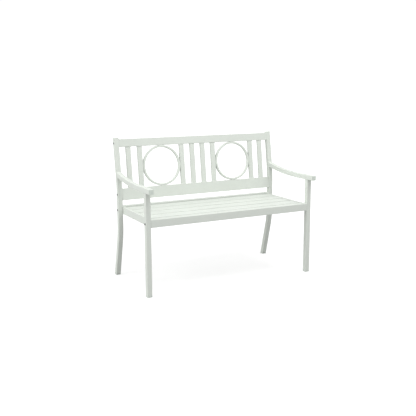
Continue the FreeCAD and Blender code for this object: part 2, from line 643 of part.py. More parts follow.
def washer(name, placement):
    """Flat washer between a bolt head and the frame tube."""
    body = new_body(name, placement)
    section = sketch_on(body, name + "_section", "XY_Plane")
    draw_circle(section, "Dims.washer_diameter")
    draw_circle(section, "Dims.bolt_thread + 2 * Dims.bolt_clearance")
    extrude(body, "Pad", section, "Dims.washer_thickness")
    return body


def end_plates(label, depth, height, bolt_shift, middle):
    """Tapped plates that close both ends of a rail, each set inside its wall."""
    plates = []
    for side, sign in (("left", -1), ("right", 1)):
        inset = sign * amount("(Sizes.clear_width - Dims.end_plate) / 2")
        place = middle.multiply(Placement(Vector(inset, 0, 0), Rotation()))
        body = new_body("%s_%s" % (label, side), place)
        section = sketch_on(body, "%s_%s_section" % (label, side), "YZ_Plane")
        draw_section(section, inside(depth, "Dims.rail_wall"), inside(height, "Dims.rail_wall"),
                     "Dims.tube_corner - Dims.rail_wall")
        draw_circle(section, "Dims.bolt_thread", bolt_shift)
        extrude(body, "Pad", section, "Dims.end_plate", both_ways=True)
        plates.append(body)
    keep(label, group(label + "_pair", plates))


def build_fasteners():
    """Eight bolts with washers, and the tapped plates that they screw into."""
    spots = (("front", "Sizes.front_leg_y", "Sizes.seat_rail_z"),
             ("rear", "Sizes.waist_y", "Sizes.rear_rail_z"),
             ("low", "Sizes.low_rail_y", "Sizes.low_rail_z"),
             ("top", "Sizes.top_rail_y", "Sizes.top_rail_z"))
    bolts, washers = [], []
    for side, sign in (("left", -1), ("right", 1)):
        outward = Rotation(Vector(0, 1, 0), sign * 90)
        face = amount("Dims.overall_width") / 2
        seat = face + amount("Dims.washer_thickness")
        for spot, across, up in spots:
            name = "%s_%s" % (side, spot)
            depth, height = amount(across), amount(up)
            bolts.append(bolt(name + "_bolt", Placement(Vector(sign * seat, depth, height), outward)))
            washers.append(washer(name + "_washer",
                                  Placement(Vector(sign * face, depth, height), outward)))
    keep("frame_bolts", group("bolt_set", bolts))
    keep("bolt_washers", group("washer_set", washers))
    front_place = Placement(Vector(0, amount("Sizes.front_rail_y"), amount("Sizes.seat_rail_z")),
                            Rotation())
    rear_place = Placement(Vector(0, amount("Sizes.waist_y"), amount("Sizes.rear_rail_z")), Rotation())
    end_plates("front_rail_end_plates", "Dims.front_rail_depth", "Dims.seat_rail_height",
               "Sizes.front_leg_y - Sizes.front_rail_y", front_place)
    end_plates("rear_rail_end_plates", "Dims.frame_tube",
               "(Dims.seat_rail_height + Dims.rear_rail_rise)", "0", rear_place)
    end_plates("lower_rail_end_plates", "Dims.rail_depth", "Dims.lower_rail_height", "0",
               back_placement(0, 0))
    end_plates("top_rail_end_plates", "Dims.rail_depth", "Dims.top_rail_height", "0",
               back_placement(0, amount("Sizes.rail_span")))


# Assembly ---------------------------------------------------------------------------------------

for side_name, side_sign in (("left", -1), ("right", 1)):
    build_side_frame(side_name, side_sign)
build_back_panel()
build_seat()
build_fasteners()
doc.recompute()

for thing in doc.Objects:
    if "Invalid" in thing.State or "Error" in thing.State:
        raise RuntimeError("%s did not build: %s" % (thing.Name, thing.State))
for part in sub_parts:
    if part.Shape.isNull() or not part.Shape.isValid():
        raise RuntimeError("%s has no valid shape" % part.Label)

os.makedirs("parts", exist_ok=True)
for part in sub_parts:
    part.Shape.exportStep("parts/%s.step" % part.Label)
    print("%-24s %2d solid(s) %12.1f mm3" % (part.Label, len(part.Shape.Solids), part.Shape.Volume))
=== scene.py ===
"""Looks of the garden bench: powder-coated steel tubes with welds, moulded ends and bolts.

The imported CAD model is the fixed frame.  Its legs, rails and back slats stay and get their finish
here.  The armrests, moulded ends, bolts, washers, seat slats and back rings are built again with
finer detail, and weld beads are laid along the joints.  Lengths are in metres, +X runs along the
bench, +Y to its back and +Z up.
"""
from __future__ import annotations

import logging
import math
from dataclasses import dataclass, field
from enum import Enum
from typing import Iterable, Sequence

import bmesh
import bpy
from mathutils import Matrix, Vector, noise


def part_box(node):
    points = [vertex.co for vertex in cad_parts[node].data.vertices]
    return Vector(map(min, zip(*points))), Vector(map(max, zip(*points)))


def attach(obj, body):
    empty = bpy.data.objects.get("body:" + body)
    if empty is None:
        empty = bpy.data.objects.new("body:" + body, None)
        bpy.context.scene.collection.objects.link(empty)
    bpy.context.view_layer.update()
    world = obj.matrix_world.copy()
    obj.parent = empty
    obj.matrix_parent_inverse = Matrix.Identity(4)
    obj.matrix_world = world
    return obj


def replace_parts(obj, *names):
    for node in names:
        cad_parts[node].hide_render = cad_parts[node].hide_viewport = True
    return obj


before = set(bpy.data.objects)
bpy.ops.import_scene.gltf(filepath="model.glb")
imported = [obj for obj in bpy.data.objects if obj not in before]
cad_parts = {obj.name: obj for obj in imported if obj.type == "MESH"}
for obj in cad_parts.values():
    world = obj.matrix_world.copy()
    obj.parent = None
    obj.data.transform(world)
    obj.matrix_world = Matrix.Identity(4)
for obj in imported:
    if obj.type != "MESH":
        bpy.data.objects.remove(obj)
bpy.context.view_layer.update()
LOG = logging.getLogger("garden_bench")
Ring = list[Vector]


class Slot(Enum):
    """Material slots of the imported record."""

    COAT = "coated_steel"
    MOULDED = "moulded_caps"
    FASTENER = "fastener_steel"
    PLATE = "plate_steel"


class Side(Enum):
    """The two side frames, by the sign of their X."""

    LEFT = -1
    RIGHT = 1

    @property
    def word(self) -> str:
        """The side's name as the nodes spell it."""
        return self.name.lower()


# Finishes ---------------------------------------------------------------------------------------


class ShaderBench:
    """One material and the small set of node recipes that the finishes share."""

    def __init__(self, name: str) -> None:
        """Start an empty material with its principled shader.

        Args:
            name: Name of the material.
        """
        self.material = bpy.data.materials.new(name)
        self.material.use_nodes = True
        self.tree = self.material.node_tree
        self.tree.nodes.clear()
        output = self.tree.nodes.new("ShaderNodeOutputMaterial")
        self.shader = self.tree.nodes.new("ShaderNodeBsdfPrincipled")
        self.tree.links.new(self.shader.outputs["BSDF"], output.inputs["Surface"])
        self.place = self.tree.nodes.new("ShaderNodeTexCoord").outputs["Object"]

    def feed(self, socket: bpy.types.NodeSocket, value: object) -> None:
        """Link a socket to another one, or set it.

        Args:
            socket: Input socket to fill.
            value: Output socket, number, vector or colour.
        """
        if isinstance(value, bpy.types.NodeSocket):
            self.tree.links.new(value, socket)
        else:
            socket.default_value = value

    def noise(self, size: float, detail: float = 2.0, rough: float = 0.5,
              stretch: Sequence[float] = (1.0, 1.0, 1.0)) -> bpy.types.NodeSocket:
        """Soft noise with lumps of a real size.

        Args:
            size: Size of a lump in metres.
            detail: Number of finer octaves.
            rough: Weight of the finer octaves.
            stretch: How much longer the lumps are along each axis.

        Returns:
            The noise, from 0 to 1.
        """
        mapping = self.tree.nodes.new("ShaderNodeMapping")
        mapping.inputs["Scale"].default_value = [1.0 / part for part in stretch]
        self.feed(mapping.inputs["Vector"], self.place)
        texture = self.tree.nodes.new("ShaderNodeTexNoise")
        texture.inputs["Scale"].default_value = 1.0 / size
        texture.inputs["Detail"].default_value = detail
        texture.inputs["Roughness"].default_value = rough
        self.feed(texture.inputs["Vector"], mapping.outputs["Vector"])
        return texture.outputs["Fac"]

    def grains(self, size: float) -> bpy.types.NodeSocket:
        """Distance to the nearest grain of a random scatter.

        Args:
            size: Spacing of the grains in metres.

        Returns:
            The distance in spacings, about 0 to 1.
        """
        texture = self.tree.nodes.new("ShaderNodeTexVoronoi")
        texture.inputs["Scale"].default_value = 1.0 / size
        self.feed(texture.inputs["Vector"], self.place)
        return texture.outputs["Distance"]

    def remap(self, value: object, low: float, high: float, to_low: float,
              to_high: float) -> bpy.types.NodeSocket:
        """Carry a value from one range to another and keep it there.

        Args:
            value: Value to carry.
            low: Start of its range.
            high: End of its range.
            to_low: What the start becomes.
            to_high: What the end becomes.

        Returns:
            The carried value.
        """
        node = self.tree.nodes.new("ShaderNodeMapRange")
        for name, amount in (("Value", value), ("From Min", low), ("From Max", high),
                             ("To Min", to_low), ("To Max", to_high)):
            self.feed(node.inputs[name], amount)
        return node.outputs["Result"]

    def sum(self, first: object, second: object, weight: object = 1.0) -> bpy.types.NodeSocket:
        """First value plus a weight times the second.

        Args:
            first: Value that is kept whole.
            second: Value that is weighed.
            weight: Factor of the second value.

        Returns:
            The sum.
        """
        node = self.tree.nodes.new("ShaderNodeMath")
        node.operation = "MULTIPLY_ADD"
        for socket, amount in zip(node.inputs, (second, weight, first)):
            self.feed(socket, amount)
        return node.outputs["Value"]

    def blend(self, share: object, below: object, above: object) -> bpy.types.NodeSocket:
        """Mix two colours.

        Args:
            share: Share of the second colour, 0 to 1.
            below: First colour.
            above: Second colour.

        Returns:
            The mixed colour.
        """
        node = self.tree.nodes.new("ShaderNodeMix")
        node.data_type = "RGBA"
        for index, amount in ((0, share), (6, below), (7, above)):
            self.feed(node.inputs[index], amount)
        return node.outputs[2]

    def edges(self, reach: float) -> bpy.types.NodeSocket:
        """Where the surface turns within a short reach, as at an edge.

        Args:
            reach: Distance from an edge that counts, in metres.

        Returns:
            0 on flats, up to about 1 on sharp edges.
        """
        rounded = self.tree.nodes.new("ShaderNodeBevel")
        rounded.samples = 4
        rounded.inputs["Radius"].default_value = reach
        geometry = self.tree.nodes.new("ShaderNodeNewGeometry")
        turned = self.tree.nodes.new("ShaderNodeVectorMath")
        turned.operation = "DOT_PRODUCT"
        self.feed(turned.inputs[0], rounded.outputs["Normal"])
        self.feed(turned.inputs[1], geometry.outputs["Normal"])
        return self.remap(turned.outputs["Value"], 1.0, 0.75, 0.0, 1.0)

    def corners(self, reach: float) -> bpy.types.NodeSocket:
        """How deep a point lies in an inside corner, by ambient occlusion; the finishes paint shade
        with it.

        Args:
            reach: Distance in metres over which neighbours count.

        Returns:
            0 in the open, up to 1 in a corner.
        """
        node = self.tree.nodes.new("ShaderNodeAmbientOcclusion")
        node.samples = 8
        node.inputs["Distance"].default_value = reach
        return self.remap(node.outputs["AO"], 1.0, 0.35, 0.0, 1.0)

    def bump(self, height: object, depth: float,
             under: bpy.types.NodeSocket | None = None) -> bpy.types.NodeSocket:
        """Normal disturbed by a height.

        Args:
            height: Height, 0 to 1.
            depth: Real depth of a height of 1, in metres.
            under: Normal of a coarser bump below this one.

        Returns:
            The disturbed normal.
        """
        node = self.tree.nodes.new("ShaderNodeBump")
        node.inputs["Strength"].default_value = 1.0
        node.inputs["Distance"].default_value = depth
        self.feed(node.inputs["Height"], height)
        if under is not None:
            self.feed(node.inputs["Normal"], under)
        return node.outputs["Normal"]


@dataclass(frozen=True)
class PowderCoat:
    """Satin powder coat baked on steel."""

    slot: Slot = Slot.COAT
    colour: tuple[float, float, float] = (0.699, 0.737, 0.686)
    roughness: tuple[float, float] = (0.41, 0.53)
    specular: float = 0.42
    drift_size: float = 0.16
    speckle_size: float = 0.0011
    thin_edge: float = 0.0016
    # Reach of the painted shade that darkens the coat in inside corners.
    painted_shade_reach: float = 0.014
    peel: float = 0.0024
    peel_depth: float = 0.00005
    grain: float = 0.0007
    grain_share: float = 0.12

    def material(self) -> bpy.types.Material:
        """Sage coat with orange peel, drifting tone, thin edges and painted shade in the inside
        corners.

        Returns:
            The finished material.
        """
        desk = ShaderBench("sage_powder_coat")
        full, thin, painted_shade_colour = (shade(self.colour, by) for by in (1.0, 1.06, 0.80))
        drift = desk.remap(desk.noise(self.drift_size, 3.0), 0.3, 0.7, 0.0, 0.35)
        speckle = desk.remap(desk.noise(self.speckle_size, 1.0), 0.35, 0.75, 0.0, 0.18)
        worn = desk.sum(drift, desk.edges(self.thin_edge), 0.55)
        colour = desk.blend(worn, shade(self.colour, 0.975), thin)
        colour = desk.blend(speckle, colour, full)
        # Painted shade: ambient occlusion darkens the coat towards the 0.80 tint in inside corners and
        # between parts.
        deep = desk.remap(desk.corners(self.painted_shade_reach), 0.15, 1.0, 0.0, 0.55)
        desk.feed(desk.shader.inputs["Base Color"], desk.blend(deep, colour, painted_shade_colour))
        gloss = desk.sum(desk.noise(0.05, 3.0), desk.noise(0.0019, 1.0), 0.6)
        desk.feed(desk.shader.inputs["Roughness"], desk.remap(gloss, 0.4, 1.2, *self.roughness))
        peel = desk.bump(desk.noise(self.peel, 1.5), self.peel_depth)
        powder = desk.bump(desk.grains(self.grain), self.peel_depth * self.grain_share, under=peel)
        desk.feed(desk.shader.inputs["Normal"], powder)
        desk.shader.inputs["Specular IOR Level"].default_value = self.specular
        return desk.material


@dataclass(frozen=True)
class MouldedPlastic:
    """Matte moulded plastic of the tube ends, dyed to go with the coat."""

    slot: Slot = Slot.MOULDED
    colour: tuple[float, float, float] = (0.675, 0.735, 0.675)
    roughness: tuple[float, float] = (0.52, 0.66)
    specular: float = 0.35
    cloud_size: float = 0.02
    rubbed_edge: float = 0.0012
    # Reach of the painted shade that darkens the plastic in its corners.
    corner_shade_reach: float = 0.006
    spark: float = 0.0005
    spark_depth: float = 0.00002

    def material(self) -> bpy.types.Material:
        """Fine spark-eroded texture with rubbed edges and painted shade in the corners.

        Returns:
            The finished material.
        """
        desk = ShaderBench("sage_moulded_plastic")
        cloud = desk.remap(desk.noise(self.cloud_size, 3.0), 0.3, 0.7, 0.0, 0.4)
        rubbed = desk.sum(cloud, desk.edges(self.rubbed_edge), 0.6)
        colour = desk.blend(rubbed, shade(self.colour, 0.95), shade(self.colour, 1.10))
        # Painted shade: ambient occlusion darkens the plastic towards the 0.72 tint in its corners.
        painted_corner_shade = desk.remap(desk.corners(self.corner_shade_reach), 0.1, 1.0, 0.0, 0.6)
        desk.feed(desk.shader.inputs["Base Color"],
                  desk.blend(painted_corner_shade, colour, shade(self.colour, 0.72)))
        desk.feed(desk.shader.inputs["Roughness"],
                  desk.remap(desk.noise(0.004, 2.0), 0.3, 0.7, *self.roughness))
        desk.feed(desk.shader.inputs["Normal"],
                  desk.bump(desk.grains(self.spark), self.spark_depth))
        desk.shader.inputs["Specular IOR Level"].default_value = self.specular
        return desk.material


@dataclass(frozen=True)
class BrightSteel:
    """Plated steel of the bolts and washers."""

    slot: Slot = Slot.FASTENER
    colour: tuple[float, float, float] = (0.34, 0.345, 0.34)
    roughness: tuple[float, float] = (0.26, 0.46)
    patch_size: float = 0.0035
    bright_edge: float = 0.0004
    turning: float = 0.00035
    turning_depth: float = 0.000015

    def material(self) -> bpy.types.Material:
        """Plated steel with fine turning marks and grey patches in the plating.

        Returns:
            The finished material.
        """
        desk = ShaderBench("plated_fastener_steel")
        patch = desk.remap(desk.noise(self.patch_size, 4.0, 0.6), 0.35, 0.7, 0.0, 1.0)
        colour = desk.blend(patch, shade(self.colour, 1.0), shade(self.colour, 0.72))
        colour = desk.blend(desk.edges(self.bright_edge), colour, shade(self.colour, 1.7))
        desk.feed(desk.shader.inputs["Base Color"], colour)
        desk.shader.inputs["Metallic"].default_value = 1.0
        desk.feed(desk.shader.inputs["Roughness"],
                  desk.remap(desk.noise(0.0012, 3.0), 0.3, 0.7, *self.roughness))
        turned = desk.noise(self.turning, 2.0, stretch=(1.0, 12.0, 12.0))
        desk.feed(desk.shader.inputs["Normal"], desk.bump(turned, self.turning_depth))
        return desk.material


@dataclass(frozen=True)
class PlateCoat:
    """Powder coat on the ground and tapped plates that close the rail ends."""

    slot: Slot = Slot.PLATE
    colour: tuple[float, float, float] = (0.655, 0.705, 0.650)
    roughness: tuple[float, float] = (0.44, 0.58)
    specular: float = 0.40
    drift_size: float = 0.012
    thin_edge: float = 0.0008
    # Reach of the painted shade that darkens the plate in inside corners.
    painted_shade_reach: float = 0.006
    grinding: float = 0.0007
    grinding_depth: float = 0.00003
    peel: float = 0.0024
    peel_depth: float = 0.00004

    def material(self) -> bpy.types.Material:
        """Sage coat over grinding lines, thin at the edges and with painted shade round the rim.

        Returns:
            The finished material.
        """
        desk = ShaderBench("sage_plate_coat")
        drift = desk.remap(desk.noise(self.drift_size, 4.0, 0.6), 0.35, 0.7, 0.0, 0.5)
        worn = desk.sum(drift, desk.edges(self.thin_edge), 0.5)
        colour = desk.blend(worn, shade(self.colour, 0.94), shade(self.colour, 1.05))
        # Painted shade: ambient occlusion darkens the plate towards the 0.78 tint in inside corners
        # round the rim.
        deep = desk.remap(desk.corners(self.painted_shade_reach), 0.2, 1.0, 0.0, 0.5)
        desk.feed(desk.shader.inputs["Base Color"],
                  desk.blend(deep, colour, shade(self.colour, 0.78)))
        desk.feed(desk.shader.inputs["Roughness"],
                  desk.remap(desk.noise(0.003, 3.0), 0.3, 0.7, *self.roughness))
        ground = desk.bump(desk.noise(self.grinding, 2.0, stretch=(1.0, 1.0, 22.0)),
                           self.grinding_depth)
        desk.feed(desk.shader.inputs["Normal"],
                  desk.bump(desk.noise(self.peel, 1.5), self.peel_depth, under=ground))
        desk.shader.inputs["Specular IOR Level"].default_value = self.specular
        return desk.material


Finish = PowderCoat | MouldedPlastic | BrightSteel | PlateCoat


def shade(colour: Sequence[float], by: float) -> tuple[float, float, float, float]:
    """Colour made lighter or darker.

    Args:
        colour: Red, green and blue.
        by: Factor of all three.

    Returns:
        The shaded colour with full alpha.
    """
    return (*(min(1.0, part * by) for part in colour), 1.0)


class Paintshop:
    """Makes each finish's material once and dresses pieces and CAD nodes in it."""

    def __init__(self, finishes: Iterable[Finish]) -> None:
        """Mix every finish.

        Args:
            finishes: One finish for each material slot.
        """
        self.materials = {finish.slot: finish.material() for finish in finishes}

    def dress_piece(self, piece: bpy.types.Object, slot: Slot) -> None:
        """Finish a new piece in the material of its slot.

        Args:
            piece: Piece with an empty mesh material list.
            slot: Slot that it takes its finish from.
        """
        piece.data.materials.append(self.materials[slot])

    def dress_node(self, node: str, slot: Slot) -> None:
        """Finish a carried-over CAD node.

        Args:
            node: Name of the node.
            slot: Slot that it takes its finish from.
        """
        for material_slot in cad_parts[node].material_slots:
            material_slot.link = "OBJECT"
            material_slot.material = self.materials[slot]
        LOG.info("node %s dressed as %s", node, slot.value)


# Mesh work --------------------------------------------------------------------------------------


class Workpiece:
    """A mesh under construction, built up from lofted rings of points."""

    def __init__(self, name: str) -> None:
        """Start an empty workpiece.

        Args:
            name: Name that the finished piece gets.
        """
        self.name = name
        self.mesh = bmesh.new()

    def loft(self, rings: Sequence[Ring], round_trip: bool = False) -> None:
        """Skin a row of rings that have the same number of points.

        Args:
            rings: The rings in order.
            round_trip: Whether the last ring joins the first, or both are filled.
        """
        rows = [[self.mesh.verts.new(point) for point in ring] for ring in rings]
        following_rows = rows[1:] + rows[:1] if round_trip else rows[1:]
        for low, high in zip(rows, following_rows):
            count = len(low)
            for index in range(count):
                following = (index + 1) % count
                self.mesh.faces.new((low[index], low[following], high[following], high[index]))
        if not round_trip:
            self.mesh.faces.new(list(reversed(rows[0])))
            self.mesh.faces.new(rows[-1])

    def finish(self, paint: Paintshop, slot: Slot, body: str = "root",
               smooth_angle: float = 38.0) -> bpy.types.Object:
        """Turn the work into a shown piece that rides on its body.

        Args:
            paint: Paintshop that holds the finishes.
            slot: Slot that the piece takes its finish from.
            body: CAD body that it rides on.
            smooth_angle: Edges turning less than this many degrees are shaded smooth.

        Returns:
            The finished object.
        """
        bmesh.ops.recalc_face_normals(self.mesh, faces=self.mesh.faces)
        limit = math.radians(smooth_angle)
        for face in self.mesh.faces:
            face.smooth = True
        for edge in self.mesh.edges:
            edge.smooth = len(edge.link_faces) == 2 and edge.calc_face_angle() < limit
        data = bpy.data.meshes.new(self.name)
        self.mesh.to_mesh(data)
        self.mesh.free()
        piece = bpy.data.objects.new(self.name, data)
        bpy.context.scene.collection.objects.link(piece)
        paint.dress_piece(piece, slot)
        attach(piece, body)
        LOG.info("piece %s: %d faces", self.name, len(data.polygons))
        return piece


def rounded_rectangle(width: float, height: float, corner: float, steps: int = 5) -> Ring:
    """Outline of a rectangle with round corners, round the origin in the XY plane.

    Args:
        width: Size along X.
        height: Size along Y.
        corner: Corner radius.
        steps: Points in each corner.

    Returns:
        The outline's points, anticlockwise.
    """
    corner = min(corner, width / 2, height / 2)
    points = []
    for quarter in range(4):
        across = (width / 2 - corner) * (1 if quarter in (0, 3) else -1)
        up = (height / 2 - corner) * (1 if quarter in (0, 1) else -1)
        for step in range(steps):
            turn = (quarter + step / (steps - 1)) * math.pi / 2
            points.append(Vector((across + corner * math.cos(turn), up + corner * math.sin(turn), 0)))
    return points


def circle(radius: float, count: int, lift: float = 0.0) -> Ring:
    """Circle round the Z axis.

    Args:
        radius: Radius of the circle.
        count: Number of points.
        lift: Height of the circle.

    Returns:
        The circle's points.
    """
    turns = (2 * math.pi * index / count for index in range(count))
    return [Vector((radius * math.cos(turn), radius * math.sin(turn), lift)) for turn in turns]


def quarter_turn(steps: int) -> list[float]:
    """Angles from zero to a right angle in even steps."""
    return [math.pi / 2 * step / steps for step in range(steps + 1)]


def placed(ring: Ring, place: Matrix) -> Ring:
    """The ring's points carried to a place."""
    return [place @ point for point in ring]


def middle(node: str) -> Vector:
    """Middle of a CAD node's box."""
    low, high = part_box(node)
    return (low + high) / 2


def frame_of(origin: Vector, across: Vector, up: Vector) -> Matrix:
    """Place whose X axis and Z axis point along two directions.

    Args:
        origin: Origin of the place.
        across: Direction of its X axis.
        up: Direction of its Z axis, square to the first.

    Returns:
        The place as a matrix.
    """
    axis_x, axis_z = across.normalized(), up.normalized()
    axis_y = axis_z.cross(axis_x)
    turned = Matrix((axis_x, axis_y, axis_z)).transposed().to_4x4()
    return Matrix.Translation(origin) @ turned


@dataclass
class Weld:
    """A fillet bead with the ripples that a welding torch leaves."""

    leg: float = 0.0022
    pitch: float = 0.0016
    ripple: float = 0.10
    wander: float = 0.12
    lumps_per_metre: float = 140.0
    start: float = 0.45
    swell_up: float = 0.25
    root: float = 0.22
    sag: float = 0.28
    steps_per_ripple: int = 3
    face_steps: int = 5

    def lay(self, work: Workpiece, path: Sequence[Vector], wall: Sequence[Vector],
            base: Sequence[Vector], closed: bool = False) -> None:
        """Lay a bead in the corner between a wall and its base.

        Args:
            work: Workpiece that gets the bead.
            path: Points along the corner.
            wall: At each point, the direction up the wall.
            base: At each point, the direction out along the base.
            closed: Whether the bead runs back to its start.
        """
        points, walls, bases = self.stepped(path, wall, base, closed)
        rings = []
        last = len(points) - 1
        for index, (point, upward, outward) in enumerate(zip(points, walls, bases)):
            beat = abs(math.sin(math.pi * index / self.steps_per_ripple))
            size = self.leg * (1 - self.ripple + self.ripple * beat
                               + self.wander * noise.noise(point * self.lumps_per_metre))
            if not closed:
                size *= min(1.0, self.start + self.swell_up * min(index, last - index))
            rings.append(self.section(point, upward, outward, size))
        work.loft(rings, round_trip=closed)

    def stepped(self, path: Sequence[Vector], wall: Sequence[Vector], base: Sequence[Vector],
                closed: bool) -> tuple[Ring, Ring, Ring]:
        """Divide a path into short even steps.

        Args:
            path: Points along the corner.
            wall: Direction up the wall at each of them.
            base: Direction along the base at each of them.
            closed: Whether the path runs back to its start.

        Returns:
            The denser points and both directions at them.
        """
        count = len(path)
        points, walls, bases = [], [], []
        for index in range(count if closed else count - 1):
            after = (index + 1) % count
            gap = (path[after] - path[index]).length
            pieces = max(1, round(gap / (self.pitch / self.steps_per_ripple)))
            for step in range(pieces):
                share = step / pieces
                points.append(path[index].lerp(path[after], share))
                walls.append(wall[index].lerp(wall[after], share).normalized())
                bases.append(base[index].lerp(base[after], share).normalized())
        if not closed:
            points.append(path[-1].copy())
            walls.append(wall[-1].normalized())
            bases.append(base[-1].normalized())
        return points, walls, bases

    def section(self, point: Vector, upward: Vector, outward: Vector, size: float) -> Ring:
        """Section of the bead: a root sunk in the corner under a slightly hollow face.

        Args:
            point: Corner of the joint.
            upward: Direction up the wall.
            outward: Direction along the base.
            size: Leg length there.

        Returns:
            The section's points.
        """
        ring = [point - (upward + outward) * (size * self.root)]
        for turn in quarter_turn(self.face_steps):
            hollow = 1 - self.sag * math.sin(2 * turn)
            ring.append(point + (outward * math.cos(turn) + upward * math.sin(turn)) * (size * hollow))
        return ring

    def around(self, work: Workpiece, place: Matrix, width: float, depth: float,
               corner: float) -> None:
        """Lay a bead all round a tube that stands on a flat face.

        Args:
            work: Workpiece that gets the bead.
            place: Foot of the tube: its Z axis runs up the tube.
            width: Size of the tube along the place's X axis.
            depth: Size along its Y axis.
            corner: Corner radius of the tube.
        """
        outline = rounded_rectangle(width, depth, corner)
        turned = place.to_3x3()
        upward = turned @ Vector((0, 0, 1))
        outs = []
        for point in outline:
            nearest = Vector((max(-(width / 2 - corner), min(width / 2 - corner, point.x)),
                              max(-(depth / 2 - corner), min(depth / 2 - corner, point.y)), 0))
            outs.append(turned @ (point - nearest).normalized())
        self.lay(work, placed(outline, place), [upward] * len(outline), outs, closed=True)

    def straight(self, work: Workpiece, start: Vector, end: Vector, upward: Vector,
                 outward: Vector) -> None:
        """Lay a straight bead.

        Args:
            work: Workpiece that gets the bead.
            start: One end of the corner.
            end: Its other end.
            upward: Direction up the wall.
            outward: Direction along the base.
        """
        self.lay(work, (start, end), (upward, upward), (outward, outward))


# Sub-assemblies ---------------------------------------------------------------------------------


@dataclass
class TubeEnd:
    """Moulded cap in the open end of a frame tube."""

    tube: float = 0.030
    corner: float = 0.0025
    skirt: float = 0.0004
    bevel: float = 0.0015
    crown: float = 0.0004
    plug: float = 0.018
    plug_inset: float = 0.0036
    plug_lead: float = 0.0014
    seat_gap: float = 0.0002
    fin_size: float = 0.0258
    fin_bevel: float = 0.0012
    fins: int = 4

    def build(self, paint: Paintshop, name: str, height: float, place: Matrix) -> None:
        """Crowned cap with a parting groove and a finned plug behind it.

        Args:
            paint: Paintshop that holds the finishes.
            name: CAD node that it stands for.
            height: Height that shows past the tube.
            place: End of the tube: Z runs outwards along it.
        """
        work = Workpiece(name + "_moulding")
        work.loft([placed(self.outline(inset, lift), place) for inset, lift in self.profile(height)])
        for index in range(self.fins):
            deep = -self.plug * (index + 0.6) / self.fins
            rings = [self.fin(grow, deep + lift) for grow, lift in
                     ((-self.fin_bevel, -0.0007), (0.0, -0.0004),
                      (0.0, 0.0004), (-self.fin_bevel, 0.0007))]
            work.loft([placed(ring, place) for ring in rings])
        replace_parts(work.finish(paint, Slot.MOULDED, smooth_angle=50), name)

    def profile(self, height: float) -> list[tuple[float, float]]:
        """Profile of the cap, from the plug's end to the middle of the crown.

        Args:
            height: Height that shows past the tube.

        Returns:
            Inset from the tube's outside and lift of each ring.
        """
        groove = self.corner * 0.22
        rows = [(self.plug_inset + self.plug_lead, -self.plug),
                (self.plug_inset, -self.plug + 0.001), (self.plug_inset, -self.seat_gap),
                (groove, -self.seat_gap), (groove, self.skirt * 0.6), (0.0, self.skirt * 1.6)]
        top = height - self.crown
        for turn in quarter_turn(5):
            rows.append((self.bevel * (1 - math.cos(turn)), top - self.bevel * (1 - math.sin(turn))))
        for share in (0.25, 0.5, 0.75, 0.92):
            inset = self.bevel + (self.tube / 2 - self.bevel) * share
            rows.append((inset, top + self.crown * (1 - (1 - share) ** 2)))
        return rows

    def outline(self, inset: float, lift: float) -> Ring:
        """Outline of the tube drawn in and lifted.

        Args:
            inset: How far it is drawn in on each side.
            lift: Height of the outline.

        Returns:
            The outline's points.
        """
        size = self.tube - 2 * inset
        ring = rounded_rectangle(size, size, max(self.corner - inset, size * 0.08), steps=7)
        return [point + Vector((0, 0, lift)) for point in ring]

    def fin(self, grow: float, lift: float) -> Ring:
        """Outline of a fin that grips the tube's inside.

        Args:
            grow: How much further it stands out on each side.
            lift: Height of the outline.

        Returns:
            The outline's points.
        """
        size = self.fin_size + 2 * grow
        ring = rounded_rectangle(size, size, self.fin_bevel)
        return [point + Vector((0, 0, lift)) for point in ring]


@dataclass
class FootPlug:
    """Moulded foot: a pad under the tube's end and a stub inside it."""

    tube: float = 0.030
    pad: float = 0.006
    stub: float = 0.018
    stub_size: float = 0.0266
    ribs: int = 5
    rib_height: float = 0.0008
    stub_lead: float = 0.0020
    shadow_gap: float = 0.0005
    corner: float = 0.0025
    edge: float = 0.0012
    tread_rim: float = 0.005
    tread_hollow: float = 0.0006

    def build(self, paint: Paintshop, name: str, splay: float) -> None:
        """Pad with a rounded tread and a ribbed stub, sheared to the leg's splay.

        Args:
            paint: Paintshop that holds the finishes.
            name: CAD node that it stands for.
            splay: Angle of the leg from upright, in degrees.
        """
        slope = math.tan(math.radians(splay))
        stretch = 1 / math.cos(math.radians(splay))
        low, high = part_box(name)
        centre_x = (low.x + high.x) / 2
        top = self.pad + self.stub
        centre_y = (low.y + high.y) / 2
        if splay:
            centre_y = low.y + self.stub_size / 2 * stretch + top * slope
        work = Workpiece(name + "_moulding")
        rings = []
        for inset, lift, size in self.profile(top):
            ring = rounded_rectangle(size - 2 * inset, (size - 2 * inset) * stretch,
                                     max(self.corner - inset, self.rib_height), steps=6)
            rings.append([Vector((centre_x + point.x, centre_y + point.y - lift * slope, lift))
                          for point in ring])
        work.loft(rings)
        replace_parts(work.finish(paint, Slot.MOULDED, smooth_angle=50), name)

    def profile(self, top: float) -> list[tuple[float, float, float]]:
        """Profile of the foot, from the tread to the stub's end.

        Args:
            top: Height of the stub's end above the ground.

        Returns:
            Inset, lift and size of each ring.
        """
        rows = [(self.tread_rim + 0.001, self.tread_hollow, self.tube),
                (self.tread_rim, 0.0, self.tube)]
        for turn in quarter_turn(4):
            rows.append((self.edge * (1 - math.sin(turn)), self.edge * (1 - math.cos(turn)),
                         self.tube))
        gap = self.shadow_gap
        rows += [(0.0, self.pad - 2 * gap, self.tube), (gap, self.pad - 1.4 * gap, self.tube),
                 (gap, self.pad, self.tube), (0.0, self.pad, self.stub_size)]
        pitch = self.stub / self.ribs
        for rib in range(self.ribs):
            start = self.pad + pitch * rib
            rows += [(self.rib_height, start + pitch * 0.28, self.stub_size),
                     (0.0, start + pitch * 0.50, self.stub_size),
                     (self.rib_height, start + pitch * 0.72, self.stub_size)]
        rows.append((self.stub_lead, top, self.stub_size))
        return rows


